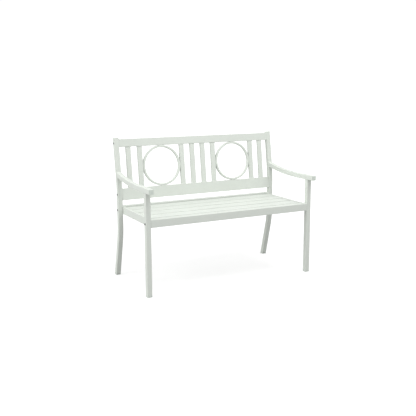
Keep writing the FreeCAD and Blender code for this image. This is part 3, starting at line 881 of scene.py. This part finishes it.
@dataclass
class SideFrame:
    """Rear leg with its post, front leg, armrest, moulded ends and welds of one side."""

    side: Side
    tube: float = 0.030
    wall: float = 0.0015
    corner: float = 0.0025
    arm_level: float = 0.175
    arm_sweep: float = 1.700
    arm_steps: int = 60
    post_cap: float = 0.004
    arm_cap: float = 0.003
    cap_bevel: float = 0.0015
    weld_inset: float = 0.0026
    post_lean: float = 8.5
    heel_splay: float = 15.0
    weld: Weld = field(default_factory=lambda: Weld(leg=0.0030, pitch=0.0020))

    def build(self, paint: Paintshop) -> None:
        """Dress the legs, bend the armrest, cap the tube ends and weld them together.

        Args:
            paint: Paintshop that holds the finishes.
        """
        word = self.side.word
        for tube in ("rear_leg", "front_leg"):
            paint.dress_node(f"{word}_{tube}", Slot.COAT)
        self.bend_arm(paint)
        cap = TubeEnd(tube=self.tube, bevel=self.cap_bevel)
        cap.build(paint, f"{word}_post_cap", self.post_cap, self.post_end())
        cap.build(paint, f"{word}_arm_cap", self.arm_cap, self.arm_end())
        FootPlug(tube=self.tube).build(paint, f"{word}_rear_foot", self.heel_splay)
        FootPlug(tube=self.tube).build(paint, f"{word}_front_foot", 0.0)
        self.weld_joints(paint)

    def post_end(self) -> Matrix:
        """Work out the top end of the post's tube from the cap's box.

        Returns:
            The place, Z outwards along the post.
        """
        low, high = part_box(f"{self.side.word}_post_cap")
        lean = math.radians(self.post_lean)
        half, rim = self.tube / 2, self.post_cap - self.cap_bevel
        origin = Vector(((low.x + high.x) / 2,
                         high.y - half * math.cos(lean) - rim * math.sin(lean),
                         high.z - self.post_cap * math.cos(lean)
                         - (half - self.cap_bevel) * math.sin(lean)))
        return Matrix.Translation(origin) @ Matrix.Rotation(-lean, 4, "X")

    def arm_end(self) -> Matrix:
        """Work out the front end of the armrest's tube from the cap's box.

        Returns:
            The place, Z outwards along the armrest.
        """
        low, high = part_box(f"{self.side.word}_arm_cap")
        origin = Vector(((low.x + high.x) / 2, low.y + self.arm_cap, (low.z + high.z) / 2))
        return Matrix.Translation(origin) @ Matrix.Rotation(math.pi / 2, 4, "X")

    def bend_arm(self, paint: Paintshop) -> None:
        """Bend the armrest: level in front, swept up to the post and coped to fit it.

        Args:
            paint: Paintshop that holds the finishes.
        """
        name = f"{self.side.word}_armrest"
        hollow = self.tube - 2 * self.wall
        skins = (rounded_rectangle(self.tube, self.tube, self.corner, steps=7),
                 rounded_rectangle(hollow, hollow, self.corner - self.wall, steps=7))
        stations = self.arm_stations()
        outside, inside = ([placed([Vector((point.x, 0, point.y)) for point in skin], station)
                            for station in stations] for skin in skins)
        for run in (outside, inside):
            run.append(self.cope(run[-1], stations[-1]))
        work = Workpiece(name + "_bent_tube")
        work.loft(outside + inside[::-1], round_trip=True)
        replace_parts(work.finish(paint, Slot.COAT, smooth_angle=50), name)

    def arm_stations(self) -> list[Matrix]:
        """Step along the armrest's axis to just short of the post.

        Returns:
            The places in order, each with Y along the armrest.
        """
        start = self.arm_end().translation
        corners = [corner.y for corner, _, _ in self.arm_corners()]
        turn_y = start.y - self.arm_cap + self.arm_level
        reach = math.asin((sum(corners) / 2 - turn_y - 0.3 * self.tube) / self.arm_sweep)
        stations = [Matrix.Translation(start)]
        for step in range(self.arm_steps + 1):
            rise = reach * step / self.arm_steps
            point = Vector((start.x, turn_y + self.arm_sweep * math.sin(rise),
                            start.z + self.arm_sweep * (1 - math.cos(rise))))
            stations.append(Matrix.Translation(point) @ Matrix.Rotation(rise, 4, "X"))
        return stations

    def cope(self, ring: Ring, station: Matrix) -> Ring:
        """Carry a ring of the armrest on to the post's rounded front.

        Args:
            ring: Last ring short of the post.
            station: Place of that ring, Y along the armrest.

        Returns:
            The ring cut to the post.
        """
        upper, lower = (corner for corner, _, _ in self.arm_corners())
        along = station.to_3x3() @ Vector((0, 1, 0))
        facing = Vector((0, upper.z - lower.z, lower.y - upper.y))
        cut = []
        for point in ring:
            gap = (lower - point).dot(facing) / along.dot(facing)
            past = min(self.corner, max(0.0, abs(point.x - lower.x) - self.tube / 2 + self.corner))
            round_off = self.corner - math.sqrt(self.corner ** 2 - past ** 2)
            cut.append(point + along * (gap + round_off))
        return cut

    def weld_joints(self, paint: Paintshop) -> None:
        """Weld the front leg under the armrest and the armrest to the post.

        Args:
            paint: Paintshop that holds the finishes.
        """
        word = self.side.word
        work = Workpiece(f"{word}_frame_welds")
        low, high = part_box(f"{word}_front_leg")
        reach = self.tube / 2 - self.weld_inset
        centre_x = (low.x + high.x) / 2
        down = Vector((0, 0, -1))
        for front, out in ((low.y, -1), (high.y, 1)):
            ends = [Vector((centre_x + sign * reach, front, high.z)) for sign in (-1, 1)]
            self.weld.straight(work, *ends, down, Vector((0, out, 0)))
        for corner, along_arm, along_post in self.arm_corners():
            ends = [corner + Vector((sign * reach, 0, 0)) for sign in (-1, 1)]
            self.weld.straight(work, *ends, along_post, along_arm)
        work.finish(paint, Slot.COAT)

    def arm_corners(self) -> list[tuple[Vector, Vector, Vector]]:
        """Corners above and below the armrest where it meets the post.

        Returns:
            For each corner its middle, the direction along the armrest and along the post.
        """
        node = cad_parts[f"{self.side.word}_armrest"]
        centre_x = middle(node.name).x
        flats = [Vector((0, vertex.co.y, vertex.co.z)) for vertex in node.data.vertices
                 if abs(vertex.co.x - centre_x) < self.tube / 2 - 0.002]
        # The sweep rises to the post, so the corners are the end points furthest up and down.
        sweep_slope, post_slope = 0.25, 0.4
        upper = max(flats, key=lambda point: point.y * sweep_slope + point.z)
        at_post = [point for point in flats if point.y > upper.y - 0.4 * self.tube]
        lower = min(at_post, key=lambda point: point.z - point.y * post_slope)
        before_post = [point for point in flats if point.y < upper.y - 0.02]
        near = max(before_post, key=lambda point: point.y * sweep_slope + point.z)
        back_along, up_post = (near - upper).normalized(), (upper - lower).normalized()
        shift = Vector((centre_x, 0, 0))
        return [(upper + shift, back_along, up_post), (lower + shift, back_along, -up_post)]


@dataclass
class BackPanel:
    """Two rails with eight slats and two rings between them."""

    slats: int = 8
    slat_width: float = 0.033
    slat_depth: float = 0.015
    tube_corner: float = 0.0025
    lower_height: float = 0.074
    top_height: float = 0.050
    band: float = 0.013
    ring_depth: float = 0.020
    ring_edge: float = 0.0025
    ring_steps: int = 144
    seam_dent: float = 0.03
    seam_steps: float = 1.1
    wedge_reach: float = 0.0125
    wedge_root: float = 0.0020
    wedge_sink: float = 0.0002
    wedge_share: float = 0.94
    wedge_steps: int = 26
    weld: Weld = field(default_factory=lambda: Weld(leg=0.0020, pitch=0.0015))

    def build(self, paint: Paintshop) -> None:
        """Dress the rails and slats, build the rings and weld the panel together.

        Args:
            paint: Paintshop that holds the finishes.
        """
        for node in ("top_back_rail", "lower_back_rail"):
            paint.dress_node(node, Slot.COAT)
        for number in range(1, self.slats + 1):
            paint.dress_node(f"back_slat_{number}", Slot.COAT)
        for number in (1, 2):
            self.build_ring(paint, number)
        self.weld_slats(paint)
        self.weld_rings(paint)

    def place(self, across: float, along: float) -> Matrix:
        """Place in the leaning panel.

        Args:
            across: X of the place.
            along: Distance up the panel from the middle of the lower rail.

        Returns:
            The place: Z runs up the panel and Y to its back.
        """
        low, high = middle("lower_back_rail"), middle("top_back_rail")
        up = Vector((0, high.y - low.y, high.z - low.z)).normalized()
        return frame_of(Vector((across, low.y, low.z)) + up * along, Vector((1, 0, 0)), up)

    def span(self) -> float:
        """Distance between the middles of the two rails."""
        return (middle("top_back_rail") - middle("lower_back_rail")).length

    def build_ring(self, paint: Paintshop, number: int) -> None:
        """Bend a ring of rectangular tube with a ground seam at its foot.

        Args:
            paint: Paintshop that holds the finishes.
            number: Number of the ring.
        """
        name = f"back_ring_{number}"
        place, radius = self.ring_place(number)
        section = rounded_rectangle(self.band, self.ring_depth, self.ring_edge)
        rings = []
        for index in range(self.ring_steps):
            turn = 2 * math.pi * index / self.ring_steps - math.pi / 2
            from_seam = min(index, self.ring_steps - index)
            slim = 1 - self.seam_dent * math.exp(-(from_seam / self.seam_steps) ** 2)
            out = Vector((math.cos(turn), 0, math.sin(turn)))
            rings.append([place @ (out * (radius - self.band / 2 + point.x * slim)
                                   + Vector((0, point.y, 0))) for point in section])
        work = Workpiece(name + "_bent_tube")
        work.loft(rings, round_trip=True)
        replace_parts(work.finish(paint, Slot.COAT, smooth_angle=50), name)

    def ring_place(self, number: int) -> tuple[Matrix, float]:
        """Find a ring in the leaning panel.

        Args:
            number: Number of the ring.

        Returns:
            The place of its middle, and its outside radius.
        """
        low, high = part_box(f"back_ring_{number}")
        between = self.span() - (self.lower_height + self.top_height) / 2
        place = self.place((low.x + high.x) / 2, self.lower_height / 2 + between / 2)
        return place, (high.x - low.x) / 2

    def weld_slats(self, paint: Paintshop) -> None:
        """Weld both ends of every slat to the rails.

        Args:
            paint: Paintshop that holds the finishes.
        """
        work = Workpiece("back_slat_welds")
        flip = Matrix.Rotation(math.pi, 4, "Y")
        for number in range(1, self.slats + 1):
            across = middle(f"back_slat_{number}").x
            foot = self.place(across, self.lower_height / 2)
            head = self.place(across, self.span() - self.top_height / 2) @ flip
            for place in (foot, head):
                self.weld.around(work, place, self.slat_width, self.slat_depth, self.tube_corner)
        work.finish(paint, Slot.COAT)

    def weld_rings(self, paint: Paintshop) -> None:
        """Fill the wedges where each ring touches a rail or a slat.

        Args:
            paint: Paintshop that holds the finishes.
        """
        work = Workpiece("back_ring_welds")
        for number in (1, 2):
            place, radius = self.ring_place(number)
            for quarter in range(4):
                depth = self.ring_depth if quarter % 2 else self.slat_depth
                spoke = place @ Matrix.Rotation(quarter * math.pi / 2, 4, "Y")
                for sign in (-1, 1):
                    self.wedge(work, spoke, radius, depth, sign)
        work.finish(paint, Slot.COAT)

    def wedge(self, work: Workpiece, spoke: Matrix, radius: float, depth: float,
              sign: int) -> None:
        """Lay one bead across the ring's tube, in the wedge beside a tangent point.

        Args:
            work: Workpiece that gets the bead.
            spoke: Middle of the ring, its X axis towards the tangent point.
            radius: Outside radius of the ring.
            depth: Length of the bead.
            sign: Which side of the tangent point.
        """
        dip = self.gap_beside(radius, self.wedge_reach)
        rings = []
        for step in range(self.wedge_steps + 1):
            back = depth * (step / self.wedge_steps - 0.5) * self.wedge_share
            swell = 1 + 0.10 * math.sin(step * 1.7) + 0.05 * noise.noise(
                Vector((sign * 9, step * 0.7, radius)))
            tail = min(1.0, 0.55 + 0.2 * min(step, self.wedge_steps - step))
            reach = self.wedge_reach * (0.86 + 0.14 * swell * tail)
            face = reach * (0.93 * tail + 0.03)
            corners = ((radius + self.wedge_sink, self.wedge_root),
                       (radius + self.wedge_sink, reach),
                       (radius - dip * 0.30, face), (radius - dip * 0.62, face),
                       (radius - self.gap_beside(radius, reach) - 0.0003, reach),
                       (radius - 0.0006, self.wedge_root))
            rings.append([spoke @ Vector((out, back, sign * side)) for out, side in corners])
        work.loft(rings)

    def gap_beside(self, radius: float, away: float) -> float:
        """Gap between a circle and its tangent, some way from where they touch."""
        return radius - math.sqrt(radius ** 2 - away ** 2)


@dataclass
class Seat:
    """Four rails, a middle brace and the folded seat slats."""

    slats: int = 4
    sheet: float = 0.0015
    fold: float = 0.0022
    deburr: float = 0.0004
    crown: float = 0.00025
    slat_steps: int = 96
    rail_corner: float = 0.0025
    rail_weld_inset: float = 0.003
    slat_clearance: float = 0.018
    weld: Weld = field(default_factory=lambda: Weld(leg=0.0018, pitch=0.0014))
    rail_weld: Weld = field(default_factory=lambda: Weld(leg=0.0024, pitch=0.0017))

    def build(self, paint: Paintshop) -> None:
        """Dress the rails and brace, fold the slats and weld the seat together.

        Args:
            paint: Paintshop that holds the finishes.
        """
        for node in ("seat_front_rail", "seat_rear_rail", "left_seat_rail", "right_seat_rail",
                     "seat_middle_brace"):
            paint.dress_node(node, Slot.COAT)
        for number in range(1, self.slats + 1):
            self.fold_slat(paint, number)
        self.weld_slats(paint)
        self.weld_rails(paint)

    def fold_slat(self, paint: Paintshop, number: int) -> None:
        """Fold one slat out of sheet, with round bends and a slight hollow that comes and goes.

        Args:
            paint: Paintshop that holds the finishes.
            number: Number of the slat.
        """
        name = f"seat_slat_{number}"
        low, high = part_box(name)
        section = self.fold_section(high.y - low.y, high.z - low.z)
        rings = []
        for step in range(self.slat_steps + 1):
            along = low.x + (high.x - low.x) * step / self.slat_steps
            wave = 0.6 + 0.8 * noise.noise(Vector((along * 5, number * 3.7, 0)))
            ring = []
            for across, up in section:
                share = across / ((high.y - low.y) / 2)
                sag = max(0.0, self.crown * (1 - share ** 2) * wave) if up > -self.fold else 0.0
                ring.append(Vector((along, (low.y + high.y) / 2 + across, high.z + up - sag)))
            rings.append(ring)
        work = Workpiece(name + "_folded_sheet")
        work.loft(rings)
        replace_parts(work.finish(paint, Slot.COAT, smooth_angle=50), name)

    def fold_section(self, width: float, depth: float) -> list[tuple[float, float]]:
        """Section of a folded slat.

        Args:
            width: Width over the folded edges.
            depth: Height of those edges.

        Returns:
            Across and up from the middle of the slat's top, round the outside and back inside.
        """
        half, sheet = width / 2, self.sheet
        outer = [(half, -depth + self.deburr), *self.bend(half, 0.0, self.fold, 5)]
        outer += [(half * share, 0.0) for share in (0.75, 0.5, 0.25)]
        inner = [(half - sheet * 0.25, -depth), (half - sheet * 0.75, -depth),
                 (half - sheet, -depth + self.deburr)]
        inner += [*self.bend(half - sheet, -sheet, self.fold - sheet, 3), (half * 0.5, -sheet)]
        outer_left, inner_left = ([(-across, up) for across, up in run] for run in (outer, inner))
        return [*outer_left, (0.0, 0.0), *outer[::-1], *inner, (0.0, -sheet), *inner_left[::-1]]

    def bend(self, edge: float, top: float, radius: float, steps: int) -> list[tuple[float, float]]:
        """Points of a bend from an upright edge round to a flat top."""
        return [(edge - radius * (1 - math.cos(turn)), top - radius * (1 - math.sin(turn)))
                for turn in quarter_turn(steps)]

    def weld_slats(self, paint: Paintshop) -> None:
        """Tack each slat's folded edges to the side rails from below.

        Args:
            paint: Paintshop that holds the finishes.
        """
        work = Workpiece("seat_slat_welds")
        for number in range(1, self.slats + 1):
            low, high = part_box(f"seat_slat_{number}")
            for end, inward in ((low.x, 1), (high.x, -1)):
                for edge, out in ((low.y, -1), (high.y, 1)):
                    start = Vector((end, edge, low.z + 0.001))
                    stop = Vector((end, edge, high.z - self.fold))
                    self.weld.straight(work, start, stop, Vector((inward, 0, 0)),
                                       Vector((0, out, 0)))
        work.finish(paint, Slot.COAT)

    def weld_rails(self, paint: Paintshop) -> None:
        """Weld the side rails and the brace between the front and rear rails.

        Args:
            paint: Paintshop that holds the finishes.
        """
        work = Workpiece("seat_rail_welds")
        bead = self.rail_weld
        for node, inward in (("left_seat_rail", 1), ("right_seat_rail", -1)):
            low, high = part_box(node)
            inner = high.x if inward > 0 else low.x
            for end, along in ((low.y, 1), (high.y, -1)):
                start = Vector((inner, end, low.z + self.rail_corner))
                stop = Vector((inner, end, high.z - self.slat_clearance))
                bead.straight(work, start, stop, Vector((0, along, 0)), Vector((inward, 0, 0)))
                if end == high.y:
                    under = [Vector((x, end, low.z)) for x in
                             (low.x + self.rail_weld_inset, high.x - self.rail_weld_inset)]
                    bead.straight(work, *under, Vector((0, along, 0)), Vector((0, 0, -1)))
        low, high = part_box("seat_middle_brace")
        for end, along in ((low.y, 1), (high.y, -1)):
            for side, out in ((low.x, -1), (high.x, 1)):
                start = Vector((side, end, low.z + self.rail_corner))
                stop = Vector((side, end, high.z - self.rail_corner))
                bead.straight(work, start, stop, Vector((0, along, 0)), Vector((out, 0, 0)))
            ends = [Vector((x, end, low.z)) for x in (low.x + self.rail_corner,
                                                      high.x - self.rail_corner)]
            bead.straight(work, *ends, Vector((0, along, 0)), Vector((0, 0, -1)))
        work.finish(paint, Slot.COAT)


@dataclass
class Fasteners:
    """Eight button-head bolts with washers, and the plates that they screw into."""

    thread: float = 0.0060
    thread_pitch: float = 0.0010
    thread_depth: float = 0.0005
    thread_rings: int = 110
    tip_taper: float = 0.0008
    head: float = 0.0105
    head_height: float = 0.0033
    head_rim: float = 0.0007
    crown_share: float = 0.72
    head_chamfer: float = 0.0002
    socket: float = 0.0040
    socket_depth: float = 0.0020
    socket_chamfer: float = 0.0003
    socket_point: float = 0.0004
    washer: float = 0.0125
    washer_thickness: float = 0.0016
    washer_edge: float = 0.0004
    washer_play: float = 0.0003
    reach: float = 0.0436
    facets: int = 48

    def build(self, paint: Paintshop) -> None:
        """Turn the bolts and washers and dress the end plates.

        Args:
            paint: Paintshop that holds the finishes.
        """
        bolts, washers = Workpiece("frame_bolt_set"), Workpiece("bolt_washer_set")
        for side in Side:
            for place in self.places(side):
                self.turn_bolt(bolts, place @ Matrix.Translation((0, 0, self.washer_thickness)))
                self.stamp_washer(washers, place)
        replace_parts(bolts.finish(paint, Slot.FASTENER), "frame_bolts")
        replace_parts(washers.finish(paint, Slot.FASTENER), "bolt_washers")
        for rail in ("front", "rear", "lower", "top"):
            paint.dress_node(f"{rail}_rail_end_plates", Slot.PLATE)

    def places(self, side: Side) -> list[Matrix]:
        """Where the four bolts of a side frame go through it.

        Args:
            side: Side frame.

        Returns:
            For each bolt the place on the frame's outer face, Z outwards.
        """
        low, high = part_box(f"{side.word}_front_leg")
        face = high.x if side is Side.RIGHT else low.x
        spots = [(middle(f"{side.word}_front_leg").y, middle("seat_front_rail").z)]
        for rail in ("seat_rear_rail", "lower_back_rail", "top_back_rail"):
            spots.append((middle(rail).y, middle(rail).z))
        outward = Matrix.Rotation(side.value * math.pi / 2, 4, "Y")
        return [Matrix.Translation((face, depth, height)) @ outward for depth, height in spots]

    def turn_bolt(self, work: Workpiece, place: Matrix) -> None:
        """Turn one bolt: domed head, hexagon socket and threaded shank.

        Args:
            work: Workpiece that gets the bolt.
            place: Underside of the head, Z outwards.
        """
        floor = self.head_height - self.socket_depth
        rings = [self.hexagon(0.35, floor - self.socket_point), self.hexagon(1.0, floor),
                 self.hexagon(1.0, self.head_height - self.socket_chamfer),
                 self.hexagon(1.1, self.head_height)]
        flat = self.socket * self.crown_share
        for turn in quarter_turn(7):
            radius = flat + (self.head / 2 - flat) * math.sin(turn)
            lift = self.head_rim + (self.head_height - self.head_rim) * math.cos(turn)
            rings.append(circle(radius, self.facets, lift))
        rings += [circle(self.head / 2, self.facets, self.head_chamfer),
                  circle(self.head / 2 - self.head_chamfer, self.facets, 0.0),
                  circle(self.thread / 2, self.facets, 0.0)]
        for step in range(1, self.thread_rings + 1):
            rings.append(self.thread_ring(-self.reach * step / self.thread_rings))
        rings.append(circle(self.thread / 2 - self.tip_taper, self.facets, -self.reach))
        work.loft([placed(ring, place) for ring in rings])

    def thread_ring(self, lift: float) -> Ring:
        """Shape one ring of the thread, its radius following the helix.

        Args:
            lift: Height of the ring from the head's underside.

        Returns:
            The ring's points.
        """
        ring = []
        for point in circle(1.0, self.facets):
            phase = (lift / self.thread_pitch + math.atan2(point.y, point.x) / (2 * math.pi)) % 1.0
            radius = self.thread / 2 - self.thread_depth * abs(2 * phase - 1)
            ring.append(Vector((point.x * radius, point.y * radius, lift)))
        return ring

    def hexagon(self, share: float, lift: float) -> Ring:
        """Shape the socket's hexagon with as many points as the head's circles.

        Args:
            share: Size as a share of the socket's.
            lift: Height of the hexagon from the head's underside.

        Returns:
            The hexagon's points.
        """
        ring = []
        for point in circle(1.0, self.facets):
            turn = math.atan2(point.y, point.x) % (math.pi / 3) - math.pi / 6
            radius = share * self.socket / 2 / math.cos(turn)
            ring.append(Vector((point.x * radius, point.y * radius, lift)))
        return ring

    def stamp_washer(self, work: Workpiece, place: Matrix) -> None:
        """Stamp one washer with a rolled upper edge.

        Args:
            work: Workpiece that gets the washer.
            place: Face that it lies on, Z outwards.
        """
        hole, rim = self.thread / 2 + self.washer_play, self.washer / 2
        top, edge = self.washer_thickness, self.washer_edge
        profile = [(hole, 0.0), (rim - edge / 2, 0.0), (rim, edge / 2)]
        for turn in quarter_turn(4):
            profile.append((rim - edge * (1 - math.cos(turn)), top - edge * (1 - math.sin(turn))))
        profile += [(hole + edge / 2, top), (hole, top - edge / 2)]
        work.loft([placed(circle(radius, self.facets, lift), place) for radius, lift in profile],
                  round_trip=True)


# Studio -----------------------------------------------------------------------------------------


@dataclass(frozen=True)
class Softbox:
    """Large soft lamp aimed at a point."""

    name: str
    stand: tuple[float, float, float]
    aim: tuple[float, float, float]
    size: tuple[float, float]
    power: float

    def hang(self) -> None:
        """Hang the lamp and turn it to its aim."""
        lamp = bpy.data.lights.new(self.name, "AREA")
        lamp.shape = "RECTANGLE"
        lamp.size, lamp.size_y = self.size
        lamp.energy = self.power
        holder = bpy.data.objects.new(self.name, lamp)
        holder.location = self.stand
        away = Vector(self.stand) - Vector(self.aim)
        holder.rotation_mode = "QUATERNION"
        holder.rotation_quaternion = away.to_track_quat("Z", "Y")
        bpy.context.scene.collection.objects.link(holder)


@dataclass
class Studio:
    """Pale floor, soft light and the camera."""

    floor_size: float = 120.0
    floor_colour: tuple[float, float, float] = (0.50, 0.50, 0.50)
    lift_near: float = 0.60
    lift_far: float = 1.0
    lift_reach: tuple[float, float] = (1.2, 3.6)
    sky: float = 0.77
    backdrop: float = 1.05
    azimuth: float = -28.66
    elevation: float = 10.82
    stand: tuple[float, float, float] = (-1.950, -3.672, 1.235)
    lens: float = 57.25
    shift: tuple[float, float] = (-0.0336, -0.0021)
    lamps: tuple[Softbox, ...] = (
        Softbox("high_softbox", (0.45, -1.35, 3.5), (0.0, 0.0, 0.5), (2.6, 1.2), 54.0),
        Softbox("left_softbox", (-7.0, 0.2, 1.8), (0.0, 0.0, 0.5), (3.2, 3.2), 141.0),
        Softbox("upper_left_softbox", (-2.8, -0.8, 2.8), (0.0, 0.0, 0.5), (1.4, 1.4), 12.0),
        Softbox("rear_softbox", (0.0, 2.2, 2.6), (0.0, 0.0, 0.4), (3.0, 1.2), 6.5),
    )

    def build(self) -> None:
        """Set up the floor, the light and the camera."""
        self.lay_floor()
        self.light_sky()
        for lamp in self.lamps:
            lamp.hang()
        self.place_camera()
        bpy.context.scene.view_settings.view_transform = "Standard"
        LOG.info("studio ready with %d softboxes", len(self.lamps))

    def lay_floor(self) -> None:
        """Lay a plain floor, lit from below like a light table, more so away from the bench."""
        half = self.floor_size / 2
        mesh = bmesh.new()
        corners = [mesh.verts.new((x, y, 0)) for x, y in
                   ((-half, -half), (half, -half), (half, half), (-half, half))]
        mesh.faces.new(corners)
        data = bpy.data.meshes.new("studio_floor")
        mesh.to_mesh(data)
        mesh.free()
        floor = bpy.data.objects.new("studio_floor", data)
        bpy.context.scene.collection.objects.link(floor)
        desk = ShaderBench("pale_studio_floor")
        cloud = desk.remap(desk.noise(0.8, 2.0), 0.3, 0.7, 0.0, 1.0)
        desk.feed(desk.shader.inputs["Base Color"],
                  desk.blend(cloud, shade(self.floor_colour, 1.0), shade(self.floor_colour, 0.99)))
        desk.shader.inputs["Roughness"].default_value = 0.9
        desk.shader.inputs["Specular IOR Level"].default_value = 0.1
        desk.shader.inputs["Emission Color"].default_value = (1.0, 1.0, 1.0, 1.0)
        distance = desk.tree.nodes.new("ShaderNodeVectorMath")
        distance.operation = "LENGTH"
        desk.feed(distance.inputs[0], desk.place)
        lift = desk.remap(distance.outputs["Value"], *self.lift_reach, self.lift_near, self.lift_far)
        seen = desk.tree.nodes.new("ShaderNodeLightPath").outputs["Is Camera Ray"]
        desk.feed(desk.shader.inputs["Emission Strength"], desk.sum(0.0, lift, seen))
        data.materials.append(desk.material)

    def light_sky(self) -> None:
        """Even white light from all round, shown as a white backdrop."""
        world = bpy.data.worlds.new("studio_sky")
        bpy.context.scene.world = world
        world.use_nodes = True
        tree = world.node_tree
        tree.nodes.clear()
        output = tree.nodes.new("ShaderNodeOutputWorld")
        mix = tree.nodes.new("ShaderNodeMixShader")
        ray = tree.nodes.new("ShaderNodeLightPath")
        tree.links.new(ray.outputs["Is Camera Ray"], mix.inputs[0])
        for index, strength in ((1, self.sky), (2, self.backdrop)):
            background = tree.nodes.new("ShaderNodeBackground")
            background.inputs["Color"].default_value = (1.0, 1.0, 1.0, 1.0)
            background.inputs["Strength"].default_value = strength
            tree.links.new(background.outputs[0], mix.inputs[index])
        tree.links.new(mix.outputs[0], output.inputs["Surface"])

    def place_camera(self) -> None:
        """Stand the camera at eye height in front of the bench's left end."""
        data = bpy.data.cameras.new("studio_camera")
        data.sensor_width = 36.0
        data.lens = self.lens
        data.shift_x, data.shift_y = self.shift
        turn, rise = math.radians(self.azimuth), math.radians(self.elevation)
        back = Vector((math.sin(turn) * math.cos(rise), -math.cos(turn) * math.cos(rise),
                       math.sin(rise)))
        camera = bpy.data.objects.new("studio_camera", data)
        camera.location = self.stand
        camera.rotation_mode = "QUATERNION"
        camera.rotation_quaternion = (-back).to_track_quat("-Z", "Y")
        bpy.context.scene.collection.objects.link(camera)
        bpy.context.scene.camera = camera


def main() -> None:
    """Build the studio and every sub-assembly."""
    logging.basicConfig(level=logging.INFO, format="%(name)s: %(message)s")
    Studio().build()
    paint = Paintshop((PowderCoat(), MouldedPlastic(), BrightSteel(), PlateCoat()))
    for side in Side:
        SideFrame(side).build(paint)
    BackPanel().build(paint)
    Seat().build(paint)
    Fasteners().build(paint)


if __name__ == "__main__":
    main()
